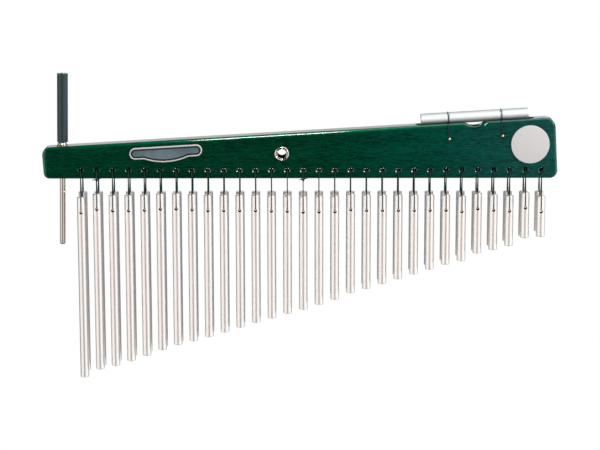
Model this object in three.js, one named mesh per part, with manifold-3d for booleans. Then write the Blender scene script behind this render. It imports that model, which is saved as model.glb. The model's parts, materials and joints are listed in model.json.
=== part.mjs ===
// Bar chime with two rows of tuned rods.
// A tapered wooden bar carries the rods on cord loops, front and rear. A beater stands in a hole
// at the bass end, a struck tone bar lies over a pocket at the treble end, and a chromed ferrule
// through the bar takes the rod of a stand.
// Millimetres. The origin is the middle of the stand ferrule's bore. +X runs along the bar to the
// treble end, +Y to the rear and +Z up.

import * as THREE from 'three';
import { mergeVertices } from 'three/addons/utils/BufferGeometryUtils.js';
import Module from 'manifold-3d';

const wasm = await Module();
wasm.setup();

// Fits
const SEAT_GAP = 0.3;               // between a piece and what it rests on or passes through
const CUT_OVERRUN = 2;              // how far a cutting tool runs past the face that it opens

// Wooden bar
const BAR_THICKNESS = 20;
const BAR_BASS_HEIGHT = 34.7;       // over the bottom edge, at the bass end
const BAR_SLOPE = THREE.MathUtils.degToRad(3.34); // of the top edge, rising to the treble end
const BAR_EDGE_RADIUS = 2.5;        // round-over all along the front and rear edges
const BASS_BOTTOM_CORNER = 6.5;
const TREBLE_BOTTOM_CORNER = 8.5;
const TREBLE_TOP_CORNER = 11;
const BASS_TOP_CORNER = 9;
const BASS_MARGIN = 40.7;           // bass end to the first string hole, along the bottom edge
const TREBLE_MARGIN = 18.2;         // last string hole to the treble end

// String holes
const STRING_HOLE_DIAMETER = 4;
const STRING_MOUTH_DIAMETER = 7.4;
const STRING_MOUTH_DEPTH = 1.25;
const STRING_HOLE_RISE = 9.55;      // over the bottom edge

// Chimes and their cords
const CHIME_POSITIONS = 30;         // each holds one rod in front and one behind
const CHIME_PITCH = 17.5;
const CHIME_DIAMETER = 9.5;
const CHIME_LONGEST = 204.9;
const CHIME_STEP = 5.5;             // each rod is this much shorter than the one before
const CHIME_DROP = 27.4;            // string hole to the top of a rod
const CROSS_HOLE_DIAMETER = 2.6;
const CROSS_HOLE_DEPTH = 17;        // below the top of a rod
const CORD_DIAMETER = 1;
const CORD_BITE = 0.2;              // how far a loaded cord beds into the wall of a cross hole
const CORD_TUCK = 1.5;              // how far a loop turns in at the mouth of a string hole
const STRAND_GAP = 0.5;             // between neighbouring strands of one cord
const REAR_GROUP = 2;               // rear rods strung on one run of cord
// Front rods, counted from the bass end, that hang lower than the rest on a cord tied longer, or higher
const UNEVEN_DROPS = new Map([
  [1, 2.1], [2, -1.6], [5, -0.6], [6, -1.8], [7, -2], [8, -0.9], [13, 0.6], [14, 0.7], [15, 1.7],
  [16, 1.4], [17, 1.3], [18, -0.9], [25, 1.5], [26, -1.7], [28, 1], [29, -2.4], [30, 1.8],
]);

// Stand ferrule
const FERRULE_BORE = 10;            // passes a 3/8 inch stand rod
const FERRULE_TUBE = 12.7;
const FERRULE_LIP = 15.9;
const FERRULE_LIP_HEIGHT = 1.6;
const FERRULE_LIP_ROUND = 0.6;
const FERRULE_RISE = 27.95;         // over the bottom edge of the bar
const FERRULE_FROM_FIRST_HOLE = 221.6;

// Beater and its ferrule
const BEATER_INSET = 20;            // from the bass end, along the bottom edge
const BEATER_LEAN = THREE.MathUtils.degToRad(1.2); // to the treble side, loose in its hole
const BEATER_ROD_DIAMETER = 6.2;
const BEATER_ROD_LENGTH = 192;
const BEATER_DOME = 0.8;            // of the rod's end, proud of the grip
const BEATER_TIP_CHAMFER = 1.6;
const GRIP_DIAMETER = 11.9;
const GRIP_LENGTH = 76;
const GRIP_EDGE = 0.3;
const BEATER_CLEARANCE = 0.8;       // round the rod, in its hole and in its ferrule
const BEATER_FERRULE_DIAMETER = 12.7;
const BEATER_FERRULE_TOP = 9.6;
const BEATER_FERRULE_HEIGHT = 3;
const BEATER_FERRULE_RIM = 0.6;

// Tone bar, its pocket and its scoop
const TONE_INSET = 91.7;            // its middle from the treble end, along the bottom edge
const TONE_DIAMETER = 12.7;
const TONE_LENGTH = 118.4;
const TONE_CHAMFER = 0.5;
const TONE_SINK = 1.15;             // its underside below the top edge of the bar
const TONE_CORD_REACH = 29.2;       // from its middle to each of its cords
const LEAVE_ANGLE = THREE.MathUtils.degToRad(30); // from straight below it, where a cord leaves it
const POCKET_LENGTH = 131;
const POCKET_WIDTH = 13.6;
const POCKET_DEPTH = 4.6;
const SCOOP_RADIUS = 20.6;
const SCOOP_DEPTH = 5.7;            // of its floor below the top edge, in the middle of the bar
const SCOOP_FALL = THREE.MathUtils.degToRad(3.9); // of its floor, to the rear

// Cord pins
const PIN_DROP = 16.6;              // below the top edge
const PIN_SHANK_DIAMETER = 1.4;
const PIN_SHANK_DEPTH = 8;          // in the wood
const PIN_HEAD_DIAMETER = 3.1;
const PIN_HEAD_HEIGHT = 1.3;

// Name plate
const PLATE_FROM_FERRULE = 127.6;   // its middle, towards the bass end
const PLATE_DROP = 12.5;            // its middle below the top edge
const PLATE_SPAN = 67.2;            // between the centres of its round ends
const PLATE_END_RADIUS = 6.5;
const PLATE_BELLY_CHORD = 49;
const PLATE_BELLY = 4.7;            // of the lower edge, below its round ends
const PLATE_HEIGHT = 2.2;
const PLATE_FLOOR = 0.8;
const PLATE_RIM = 1.7;
const PLATE_RIM_ROUND = 0.7;
const INLAY_HEIGHT = 0.4;

// Round badge
const BADGE_DIAMETER = 42.2;
const BADGE_INSET = 31;             // from the treble end, along the bottom edge
const BADGE_RISE = 37.9;            // over the bottom edge
const BADGE_RIM_HEIGHT = 1.2;
const BADGE_CROWN = 0.9;            // of its middle over its rim
const BADGE_EDGE = 0.9;             // width of the bevel round its rim

// Facets
const ROD_SIDES = 10;
const CORD_SIDES = 4;
const HOLE_SIDES = 8;
const CROSS_HOLE_SIDES = 6;
const ROUND_SIDES = 20;
const CORNER_SEGMENTS = 3;
const EDGE_SEGMENTS = 3;
const TURN_STEPS = 15;               // of a cord's turn round the tone bar

// Sizes and places worked out from the ones above
const half = {
  thickness: BAR_THICKNESS / 2,
  cord: CORD_DIAMETER / 2,
  chime: CHIME_DIAMETER / 2,
  tone: TONE_DIAMETER / 2,
};
const cordStandoff = SEAT_GAP + half.cord;   // a cord's middle from the face that it lies along
const firstHoleX = -FERRULE_FROM_FIRST_HOLE;
const bassX = firstHoleX - BASS_MARGIN;
const trebleX = firstHoleX + (CHIME_POSITIONS - 1) * CHIME_PITCH + TREBLE_MARGIN;
const bottomZ = -FERRULE_RISE;
const holeZ = bottomZ + STRING_HOLE_RISE;
const rowY = half.thickness + cordStandoff;  // a row of rods hangs plumb below its pivots
const pivotZ = holeZ - STRING_HOLE_DIAMETER / 2 + cordStandoff;
const topZ = (x) => bottomZ + BAR_BASS_HEIGHT + (x - bassX) * Math.tan(BAR_SLOPE);

// Finishes, as seen on the object
const finishes = {
  stainedWood: { color: 0x07443a, roughness: 0.25, metalness: 0 },
  satinAluminium: { color: 0xd9d6d4, roughness: 0.35, metalness: 1 },
  chrome: { color: 0xe4e4e4, roughness: 0.1, metalness: 1 },
  steel: { color: 0xcfc8c0, roughness: 0.2, metalness: 1 },
  brass: { color: 0xd6b36a, roughness: 0.3, metalness: 1 },
  rubber: { color: 0x3a484d, roughness: 0.7, metalness: 0 },
  cord: { color: 0x232b30, roughness: 0.8, metalness: 0 },
  slatePaint: { color: 0x6d7f88, roughness: 0.4, metalness: 0.4 },
  silverPaint: { color: 0xe6e2e0, roughness: 0.4, metalness: 0.3 },
};

/** Turns a closed three.js geometry into a solid that can be joined and cut. */
function solid(geometry) {
  const bare = geometry.index ? geometry.toNonIndexed() : geometry.clone();
  bare.deleteAttribute('normal');
  bare.deleteAttribute('uv');
  const merged = mergeVertices(bare);
  return new wasm.Manifold(new wasm.Mesh({
    numProp: 3,
    vertProperties: new Float32Array(merged.attributes.position.array),
    triVerts: new Uint32Array(merged.index.array),
  }));
}

/** Turns a joined or cut solid back into a geometry. */
function geometryOf(body) {
  const mesh = body.getMesh();
  const geometry = new THREE.BufferGeometry();
  geometry.setAttribute('position', new THREE.BufferAttribute(mesh.vertProperties, 3));
  geometry.setIndex(new THREE.BufferAttribute(mesh.triVerts, 1));
  geometry.computeVertexNormals();
  return geometry;
}

/** Adds one named piece with a material of its own. */
function addPiece(parent, name, geometry, finish) {
  const mesh = new THREE.Mesh(geometry, new THREE.MeshStandardMaterial(finish));
  mesh.name = name;
  parent.add(mesh);
  return mesh;
}

/** A group whose X axis lies along the sloping top edge of the bar, over the given X. */
function topEdgeGroup(x) {
  const group = new THREE.Group();
  group.position.set(x, 0, topZ(x));
  group.rotation.y = -BAR_SLOPE;
  return group;
}

/** A closed outline with an arc of its own radius at each corner, listed anticlockwise. */
function roundedOutline(corners) {
  const shape = new THREE.Shape();
  corners.forEach(({ at, radius }, i) => {
    const back = corners.at(i - 1).at.clone().sub(at).normalize();
    const ahead = corners[(i + 1) % corners.length].at.clone().sub(at).normalize();
    const halfAngle = Math.acos(back.dot(ahead)) / 2;
    const inward = back.clone().add(ahead).normalize();
    const centre = at.clone().addScaledVector(inward, radius / Math.sin(halfAngle));
    const reach = radius / Math.tan(halfAngle);
    const from = at.clone().addScaledVector(back, reach).sub(centre);
    const to = at.clone().addScaledVector(ahead, reach).sub(centre);
    shape.absarc(centre.x, centre.y, radius, from.angle(), to.angle(), false);
  });
  shape.closePath();
  return shape;
}

/** A solid of revolution about the Y axis, from [radius, y] pairs. */
const lathe = (profile, sides) => new THREE.LatheGeometry(
  profile.map(([radius, y]) => new THREE.Vector2(radius, y)),
  sides,
);

/** The same about the Z axis, from [radius, z] pairs. */
const latheUpright = (profile, sides) => lathe(profile, sides).rotateX(Math.PI / 2);

/** A cord's route: straight runs through the given points, with one step of the tube to a run. */
class Route extends THREE.Curve {
  constructor(points) {
    super();
    this.points = points;
    this.runs = points.length - 1;
  }

  getPointAt(u) {
    const run = Math.min(Math.floor(u * this.runs), this.runs - 1);
    return this.points[run].clone().lerp(this.points[run + 1], u * this.runs - run);
  }

  getTangentAt(u) {
    const corner = Math.round(u * this.runs);
    const direction = (run) => this.points[run + 1].clone().sub(this.points[run]).normalize();
    const before = direction(Math.max(corner - 1, 0));
    const after = direction(Math.min(corner, this.runs - 1));
    return before.add(after).normalize();
  }
}

/** A cord along a list of [x, y, z] points. */
function cordGeometry(points) {
  const turn = (side) => (2 * Math.PI * side) / CORD_SIDES;
  const rim = (side) => new THREE.Vector2(Math.cos(turn(side)), Math.sin(turn(side)));
  const section = Array.from({ length: CORD_SIDES }, (_, side) => rim(side).multiplyScalar(half.cord));
  const route = new Route(points.map((point) => new THREE.Vector3(...point)));
  return new THREE.ExtrudeGeometry(new THREE.Shape(section), {
    steps: route.runs,
    extrudePath: route,
    bevelEnabled: false,
  });
}

/** The outline of the bar: level below, sloping above, with ends square to the slope. */
function barOutline() {
  const topCorner = (x) => {
    const height = topZ(x) - bottomZ;
    const lean = Math.cos(BAR_SLOPE);
    return new THREE.Vector2(
      x - height * lean * Math.sin(BAR_SLOPE),
      bottomZ + height * lean * lean,
    );
  };
  return roundedOutline([
    { at: new THREE.Vector2(bassX, bottomZ), radius: BASS_BOTTOM_CORNER },
    { at: new THREE.Vector2(trebleX, bottomZ), radius: TREBLE_BOTTOM_CORNER },
    { at: topCorner(trebleX), radius: TREBLE_TOP_CORNER },
    { at: topCorner(bassX), radius: BASS_TOP_CORNER },
  ]);
}

/** Cutter for one string hole: a bore with a flared mouth at each face. */
function stringHoleCutter(x) {
  const bore = STRING_HOLE_DIAMETER / 2;
  const mouth = STRING_MOUTH_DIAMETER / 2;
  const outside = mouth + (CUT_OVERRUN * (mouth - bore)) / STRING_MOUTH_DEPTH;
  const end = half.thickness + CUT_OVERRUN;
  const throat = half.thickness - STRING_MOUTH_DEPTH;
  const profile = [[0, -end], [outside, -end], [bore, -throat], [bore, throat], [outside, end], [0, end]];
  return lathe(profile, HOLE_SIDES).translate(x, 0, holeZ);
}

/** A round hole right through the bar, front to rear, at [x, z]. */
const throughHoleCutter = (diameter, x, z, sides) => new THREE.CylinderGeometry(
  diameter / 2,
  diameter / 2,
  BAR_THICKNESS + 2 * CUT_OVERRUN,
  sides,
).translate(x, 0, z);

const beaterX = bassX + BEATER_INSET;
const toneX = trebleX - TONE_INSET;

/** Cutter for the upright hole of the beater. */
function beaterHoleCutter() {
  const radius = BEATER_ROD_DIAMETER / 2 + BEATER_CLEARANCE;
  const top = topZ(beaterX) + CUT_OVERRUN;
  const bottom = bottomZ - CUT_OVERRUN;
  return new THREE.CylinderGeometry(radius, radius, top - bottom, ROUND_SIDES)
    .rotateX(Math.PI / 2)
    .translate(beaterX, 0, (top + bottom) / 2);
}

/** Cutter for the pocket with round ends that lies under the tone bar. */
function pocketCutter() {
  const end = POCKET_LENGTH / 2 - POCKET_WIDTH / 2;
  const shape = new THREE.Shape();
  shape.absarc(end, 0, POCKET_WIDTH / 2, -Math.PI / 2, Math.PI / 2, false);
  shape.absarc(-end, 0, POCKET_WIDTH / 2, Math.PI / 2, 1.5 * Math.PI, false);
  shape.closePath();
  return new THREE.ExtrudeGeometry(shape, {
    depth: POCKET_DEPTH + CUT_OVERRUN,
    curveSegments: CORNER_SEGMENTS,
    bevelEnabled: false,
  }).translate(0, 0, -POCKET_DEPTH);
}

/** Cutter for the scoop across the top edge, its floor falling to the rear. */
const scoopCutter = () => new THREE.CylinderGeometry(
  SCOOP_RADIUS,
  SCOOP_RADIUS,
  2 * BAR_THICKNESS,
  2 * ROUND_SIDES,
)
  .rotateX(-SCOOP_FALL)
  .translate(0, 0, SCOOP_RADIUS / Math.cos(SCOOP_FALL) - SCOOP_DEPTH);

/** Cutters of the tone bar's seat, placed along the top edge: pocket, scoop and pin holes. */
function toneSeatCutters() {
  const pinHoles = [-1, 1].flatMap((end) => [-1, 1].map((side) => pinHoleCutter(end, side)));
  const place = topEdgeGroup(toneX);
  place.updateMatrix();
  return [pocketCutter(), scoopCutter(), ...pinHoles].map((cutter) => cutter.applyMatrix4(place.matrix));
}

/** Cutter for the hole of one cord pin, on the front (side -1) or the rear (side 1). */
function pinHoleCutter(end, side) {
  const radius = PIN_SHANK_DIAMETER / 2 + SEAT_GAP;
  const depth = PIN_SHANK_DEPTH + SEAT_GAP;
  const length = depth + CUT_OVERRUN;
  const middle = half.thickness - depth + length / 2;
  return new THREE.CylinderGeometry(radius, radius, length, CROSS_HOLE_SIDES)
    .translate(end * TONE_CORD_REACH, side * middle, -PIN_DROP);
}

/** The wooden bar with its rounded edges, holes, pocket and scoop. */
function barGeometry() {
  const blank = new THREE.ExtrudeGeometry(barOutline(), {
    depth: BAR_THICKNESS - 2 * BAR_EDGE_RADIUS,
    curveSegments: CORNER_SEGMENTS,
    bevelThickness: BAR_EDGE_RADIUS,
    bevelSize: BAR_EDGE_RADIUS,
    bevelOffset: -BAR_EDGE_RADIUS,
    bevelSegments: EDGE_SEGMENTS,
  })
    .rotateX(Math.PI / 2)
    .translate(0, half.thickness - BAR_EDGE_RADIUS, 0);
  const stringHoles = Array.from(
    { length: CHIME_POSITIONS },
    (_, i) => stringHoleCutter(firstHoleX + i * CHIME_PITCH),
  );
  const cutters = [
    ...stringHoles,
    throughHoleCutter(FERRULE_TUBE + 2 * SEAT_GAP, 0, 0, ROUND_SIDES),
    beaterHoleCutter(),
    ...toneSeatCutters(),
  ];
  return geometryOf(cutters.map(solid).reduce((wood, cutter) => wood.subtract(cutter), solid(blank)));
}

/** The stand ferrule: a tube with a rounded lip on each face of the bar, flat on its outer ring. */
function standFerruleGeometry() {
  const bore = FERRULE_BORE / 2;
  const tube = FERRULE_TUBE / 2;
  const lip = FERRULE_LIP / 2;
  const seat = half.thickness + SEAT_GAP;
  const face = seat + FERRULE_LIP_HEIGHT;
  const shoulder = face - FERRULE_LIP_ROUND;
  const rearHalf = [
    [tube, seat],
    [lip, seat],
    [lip, shoulder],
    [lip - FERRULE_LIP_ROUND, face],
    [bore + FERRULE_LIP_ROUND, face],
    [bore, shoulder],
  ];
  const frontHalf = rearHalf.map(([radius, y]) => [radius, -y]).reverse();
  return lathe([...rearHalf, ...frontHalf, rearHalf[0]], ROUND_SIDES);
}

/** One rod with its cross hole, its top hanging by the given drop below the pivot at the given X. */
function rodSolid(length, x, drop) {
  const rod = new THREE.CylinderGeometry(half.chime, half.chime, length, ROD_SIDES)
    .rotateX(Math.PI / 2)
    .translate(x, 0, -drop - length / 2);
  const crossHole = new THREE.CylinderGeometry(
    CROSS_HOLE_DIAMETER / 2,
    CROSS_HOLE_DIAMETER / 2,
    CHIME_DIAMETER + 2 * CUT_OVERRUN,
    CROSS_HOLE_SIDES,
  ).translate(x, 0, -drop - CROSS_HOLE_DEPTH);
  return solid(rod).subtract(solid(crossHole));
}

/**
 * The cord loop of one rod, as one unbroken tube. It comes out of the string hole, runs down the
 * outer side of the rod, through the cross hole and up the inner side, clears the bottom edge of
 * the bar and turns in at the hole again, below its other end. Side is -1 in front and 1 behind, and
 * drop is from its pivot to the top of its rod.
 */
function loopGeometry(x, side, drop) {
  const crossZ = -drop - CROSS_HOLE_DEPTH + CROSS_HOLE_DIAMETER / 2 - half.cord + CORD_BITE;
  const besideRod = half.chime + cordStandoff;
  const rodTopZ = -drop + SEAT_GAP;
  const underBarZ = bottomZ - pivotZ - SEAT_GAP;
  const apart = CORD_DIAMETER + STRAND_GAP;
  const route = [
    [-CORD_TUCK, apart],
    [apart, apart],
    [besideRod, rodTopZ],
    [besideRod, crossZ],
    [-besideRod, crossZ],
    [-besideRod, rodTopZ],
    [0, underBarZ],
    [0, 0],
    [-CORD_TUCK, 0],
  ];
  return cordGeometry(route.map(([outward, z]) => [x, side * outward, z]));
}

const chimeLength = (position) => CHIME_LONGEST - position * CHIME_STEP;
const chimeX = (position) => firstHoleX + position * CHIME_PITCH;
const unevenDrop = (position, side) => (side < 0 ? UNEVEN_DROPS.get(position + 1) ?? 0 : 0);

/** One or more neighbouring rods on their loops, with the run of cord that strings them together. */
function chimeGeometry(positions, side) {
  const startX = chimeX(positions[0]);
  const hung = positions.map((position) => {
    const x = chimeX(position) - startX;
    const drop = CHIME_DROP + unevenDrop(position, side) + pivotZ - holeZ;
    return rodSolid(chimeLength(position), x, drop).add(solid(loopGeometry(x, side, drop)));
  });
  const runs = positions.slice(1).map((position) => solid(cordGeometry([
    [chimeX(position - 1) - startX, 0, 0],
    [chimeX(position) - startX, 0, 0],
  ])));
  return geometryOf([...hung, ...runs].reduce((whole, next) => whole.add(next)));
}

/** The beater's steel rod: domed above the grip, chamfered at its lower tip. */
function beaterRodGeometry(topOfGrip) {
  const radius = BEATER_ROD_DIAMETER / 2;
  const dome = topOfGrip + BEATER_DOME;
  const tip = dome - BEATER_ROD_LENGTH;
  return latheUpright([
    [0, tip],
    [radius - BEATER_TIP_CHAMFER, tip],
    [radius, tip + BEATER_TIP_CHAMFER],
    [radius, topOfGrip],
    [radius * Math.SQRT1_2, topOfGrip + BEATER_DOME * Math.SQRT1_2],
    [0, dome],
  ], ROD_SIDES);
}

/** The beater's grip, a sleeve on the rod. */
function gripGeometry(bottom) {
  const bore = BEATER_ROD_DIAMETER / 2 + SEAT_GAP;
  const radius = GRIP_DIAMETER / 2;
  const top = bottom + GRIP_LENGTH;
  return latheUpright([
    [bore, bottom],
    [radius - GRIP_EDGE, bottom],
    [radius, bottom + GRIP_EDGE],
    [radius, top - GRIP_EDGE],
    [radius - GRIP_EDGE, top],
    [bore, top],
    [bore, bottom],
  ], ROUND_SIDES);
}

/** The conical ferrule round the beater's hole, seated on the top edge. */
function beaterFerruleGeometry() {
  const bore = BEATER_ROD_DIAMETER / 2 + BEATER_CLEARANCE;
  const base = BEATER_FERRULE_DIAMETER / 2;
  const top = SEAT_GAP + BEATER_FERRULE_HEIGHT;
  return latheUpright([
    [bore, SEAT_GAP],
    [base, SEAT_GAP],
    [base, SEAT_GAP + BEATER_FERRULE_RIM],
    [BEATER_FERRULE_TOP / 2, top],
    [bore, top],
    [bore, SEAT_GAP],
  ], ROUND_SIDES);
}

/** The struck tone bar, lying along the X axis of its group. */
function toneBarGeometry() {
  const end = TONE_LENGTH / 2;
  const face = half.tone - TONE_CHAMFER;
  const bevel = end - TONE_CHAMFER;
  const profile = [[0, -end], [face, -end], [half.tone, -bevel], [half.tone, bevel], [face, end], [0, end]];
  return lathe(profile, ROUND_SIDES).rotateZ(-Math.PI / 2).translate(0, 0, half.tone - TONE_SINK);
}

/**
 * The route of one tone bar cord, from the front pin up over the edge of the bar, under the tone
 * bar, once round it in a turn that climbs along it, and out over the rear edge to the rear pin.
 */
function toneCordRoute(end) {
  const x = end * TONE_CORD_REACH;
  const sweep = 2 * Math.PI + 2 * LEAVE_ANGLE;
  const climb = ((CORD_DIAMETER + STRAND_GAP) * sweep) / (2 * Math.PI);
  const axisZ = half.tone - TONE_SINK;
  const turnRadius = half.tone + cordStandoff;
  const overEdge = (BAR_EDGE_RADIUS + cordStandoff) * Math.SQRT1_2;
  const edgeY = half.thickness - BAR_EDGE_RADIUS;
  const pinTop = -PIN_DROP + PIN_SHANK_DIAMETER / 2 + SEAT_GAP;
  const tail = [
    [rowY, pinTop],
    [rowY, -BAR_EDGE_RADIUS],
    [edgeY + overEdge, overEdge - BAR_EDGE_RADIUS],
    [edgeY, cordStandoff],
    [POCKET_WIDTH / 2, cordStandoff + SEAT_GAP],
  ];
  const front = tail.map(([y, z], i) => [i === 0 ? x : x - climb / 2, -y, z]);
  const rear = tail.map(([y, z], i) => [i === 0 ? x : x + climb / 2, y, z]).reverse();
  const turn = Array.from({ length: TURN_STEPS + 1 }, (_, i) => {
    const angle = -LEAVE_ANGLE + (sweep * i) / TURN_STEPS;
    return [
      x + climb * (i / TURN_STEPS - 0.5),
      turnRadius * Math.sin(angle),
      axisZ - turnRadius * Math.cos(angle),
    ];
  });
  return [...front, ...turn, ...rear];
}

/** Least gap between runs of a cord that aren't neighbours, measured on points along them. */
function leastGapToItself(route) {
  const curve = new Route(route.map((point) => new THREE.Vector3(...point)));
  const pointsPerRun = 8;
  const points = curve.getSpacedPoints(curve.runs * pointsPerRun);
  const apart = 2 * pointsPerRun;
  const distances = points.flatMap((point, i) => (
    points.slice(i + apart).map((other) => point.distanceTo(other))
  ));
  return Math.min(...distances) - CORD_DIAMETER;
}

/** One tone bar cord, as one unbroken tube. */
function toneCordGeometry(end) {
  const route = toneCordRoute(end);
  console.log(`tone bar cord: least gap to itself ${leastGapToItself(route).toFixed(2)} mm`);
  return cordGeometry(route);
}

/** A domed pin on the front (side -1) or the rear (side 1), with room for a cord under its head. */
function pinGeometry(end, side) {
  const shank = PIN_SHANK_DIAMETER / 2;
  const head = PIN_HEAD_DIAMETER / 2;
  const headY = half.thickness + CORD_DIAMETER + 2 * SEAT_GAP;
  const crown = headY + PIN_HEAD_HEIGHT;
  const profile = [
    [0, half.thickness - PIN_SHANK_DEPTH],
    [shank, half.thickness - PIN_SHANK_DEPTH],
    [shank, headY],
    [head, headY],
    [head * Math.SQRT1_2, headY + PIN_HEAD_HEIGHT * Math.SQRT1_2],
    [0, crown],
  ];
  const pin = lathe(profile, HOLE_SIDES);
  const facing = side < 0 ? pin.rotateX(Math.PI) : pin;
  return facing.translate(end * TONE_CORD_REACH, 0, -PIN_DROP);
}

/** The plate's outline, drawn in by the given inset: round ends, and a belly in its lower edge. */
function plateOutline(inset) {
  const endRadius = PLATE_END_RADIUS - inset;
  const halfSpan = PLATE_SPAN / 2;
  const bellyRadius = (PLATE_BELLY_CHORD ** 2 / 4 + PLATE_BELLY ** 2) / (2 * PLATE_BELLY);
  const bellyCentre = bellyRadius - PLATE_BELLY - PLATE_END_RADIUS;
  const drawnRadius = bellyRadius - inset;
  const bellyAngle = Math.acos((bellyCentre + endRadius) / drawnRadius);
  const down = -Math.PI / 2;
  const shape = new THREE.Shape();
  shape.absarc(0, bellyCentre, drawnRadius, down - bellyAngle, down + bellyAngle, false);
  shape.absarc(halfSpan, 0, endRadius, -Math.PI / 2, Math.PI / 2, false);
  shape.absarc(-halfSpan, 0, endRadius, Math.PI / 2, 1.5 * Math.PI, false);
  shape.closePath();
  return shape;
}

/** A slab of the plate's outline, standing off the front face from one height to another. */
function plateSlab(inset, from, to, round = 0) {
  return new THREE.ExtrudeGeometry(plateOutline(inset), {
    depth: to - from - round,
    curveSegments: 2 * CORNER_SEGMENTS,
    bevelEnabled: round > 0,
    bevelThickness: round,
    bevelSize: round,
    bevelOffset: -round,
    bevelSegments: 1,
  })
    .rotateX(Math.PI / 2)
    .translate(0, -half.thickness - from, 0);
}

/** The name plate: a tray with a raised rim. */
function namePlateGeometry() {
  const floor = SEAT_GAP + PLATE_FLOOR;
  const top = SEAT_GAP + PLATE_HEIGHT;
  const recess = plateSlab(PLATE_RIM, floor, top + CUT_OVERRUN);
  const block = solid(plateSlab(0, SEAT_GAP, top, PLATE_RIM_ROUND));
  const underside = solid(plateSlab(-CUT_OVERRUN, SEAT_GAP - CUT_OVERRUN, SEAT_GAP));
  return geometryOf(block.subtract(underside).subtract(solid(recess)));
}

/** The bare inlay on the floor of the name plate. */
function inlayGeometry() {
  const seat = 2 * SEAT_GAP + PLATE_FLOOR;
  return plateSlab(PLATE_RIM + SEAT_GAP, seat, seat + INLAY_HEIGHT);
}

/** The round badge: a bare disc on the front face, crowned as a parabola inside a bevelled rim. */
function badgeGeometry() {
  const radius = BADGE_DIAMETER / 2;
  const back = -half.thickness - SEAT_GAP;
  const rim = back - BADGE_RIM_HEIGHT;
  const crownAt = (share) => [share * (radius - BADGE_EDGE), rim - BADGE_CROWN * (1 - share ** 2)];
  const crown = [0, 0.5, 1].map(crownAt);
  const edge = [[radius, rim + BADGE_RIM_HEIGHT / 2], [radius, back], [0, back]];
  return lathe([...crown, ...edge], 2 * ROUND_SIDES);
}

const twoDigits = (position) => String(position + 1).padStart(2, '0');

/** Both rows: each front rod is a piece of its own, and rear rods share a run of cord. */
function addChimes(parent) {
  for (let position = 0; position < CHIME_POSITIONS; position += 1) {
    const mesh = addPiece(
      parent,
      `chime_front_${twoDigits(position)}`,
      chimeGeometry([position], -1),
      finishes.satinAluminium,
    );
    mesh.position.set(chimeX(position), -rowY, pivotZ);
  }
  for (let first = 0; first < CHIME_POSITIONS; first += REAR_GROUP) {
    const count = Math.min(REAR_GROUP, CHIME_POSITIONS - first);
    const positions = Array.from({ length: count }, (_, i) => first + i);
    const mesh = addPiece(
      parent,
      `chimes_rear_${positions.map(twoDigits).join('_')}`,
      chimeGeometry(positions, 1),
      finishes.satinAluminium,
    );
    mesh.position.set(chimeX(first), rowY, pivotZ);
  }
}

/** The beater leaning a little in its hole, with the grip on the ferrule. */
function addBeater(parent) {
  const ferrulePlace = topEdgeGroup(beaterX);
  parent.add(ferrulePlace);
  addPiece(ferrulePlace, 'beater_ferrule', beaterFerruleGeometry(), finishes.chrome);
  const ferruleTop = SEAT_GAP + BEATER_FERRULE_HEIGHT;
  const highPoint = ferruleTop * Math.cos(BAR_SLOPE) + (BEATER_FERRULE_TOP / 2) * Math.sin(BAR_SLOPE);
  const tiltDip = (GRIP_DIAMETER / 2) * Math.sin(BEATER_LEAN);
  const holeMiddle = (topZ(beaterX) + bottomZ) / 2;
  const gripBottom = topZ(beaterX) + highPoint + tiltDip + SEAT_GAP - holeMiddle;
  const beater = new THREE.Group();
  beater.position.set(beaterX, 0, holeMiddle);
  beater.rotation.y = BEATER_LEAN;
  parent.add(beater);
  addPiece(beater, 'beater_rod', beaterRodGeometry(gripBottom + GRIP_LENGTH), finishes.steel);
  addPiece(beater, 'beater_grip', gripGeometry(gripBottom), finishes.rubber);
}

/** The tone bar over its pocket, with its cords and their pins. */
function addToneBar(parent) {
  const place = topEdgeGroup(toneX);
  parent.add(place);
  addPiece(place, 'tone_bar', toneBarGeometry(), finishes.satinAluminium);
  for (const [end, endName] of [[-1, 'bass'], [1, 'treble']]) {
    addPiece(place, `tone_cord_${endName}`, toneCordGeometry(end), finishes.cord);
    for (const [side, sideName] of [[-1, 'front'], [1, 'rear']]) {
      addPiece(place, `cord_pin_${sideName}_${endName}`, pinGeometry(end, side), finishes.brass);
    }
  }
}

/** The name plate with its inlay, and the round badge. */
function addTrim(parent) {
  const plate = topEdgeGroup(-PLATE_FROM_FERRULE);
  plate.position.z -= PLATE_DROP;
  parent.add(plate);
  addPiece(plate, 'name_plate', namePlateGeometry(), finishes.chrome);
  addPiece(plate, 'name_plate_inlay', inlayGeometry(), finishes.slatePaint);
  const badge = addPiece(parent, 'badge', badgeGeometry(), finishes.silverPaint);
  badge.position.set(trebleX - BADGE_INSET, 0, bottomZ + BADGE_RISE);
}

const barChime = new THREE.Group();
barChime.name = 'bar_chime';
addPiece(barChime, 'wooden_bar', barGeometry(), finishes.stainedWood);
addPiece(barChime, 'stand_ferrule', standFerruleGeometry(), finishes.chrome);
addBeater(barChime);
addToneBar(barChime);
addTrim(barChime);
addChimes(barChime);

export default barChime;
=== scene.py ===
"""Looks of the bar chime: a tapered wooden bar with two rows of tuned rods on cord loops.

Metres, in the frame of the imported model: +X runs along the bar to the treble end, +Y to the rear,
+Z up, and the origin is the middle of the stand ferrule's bore.
"""

import json
import math

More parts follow.
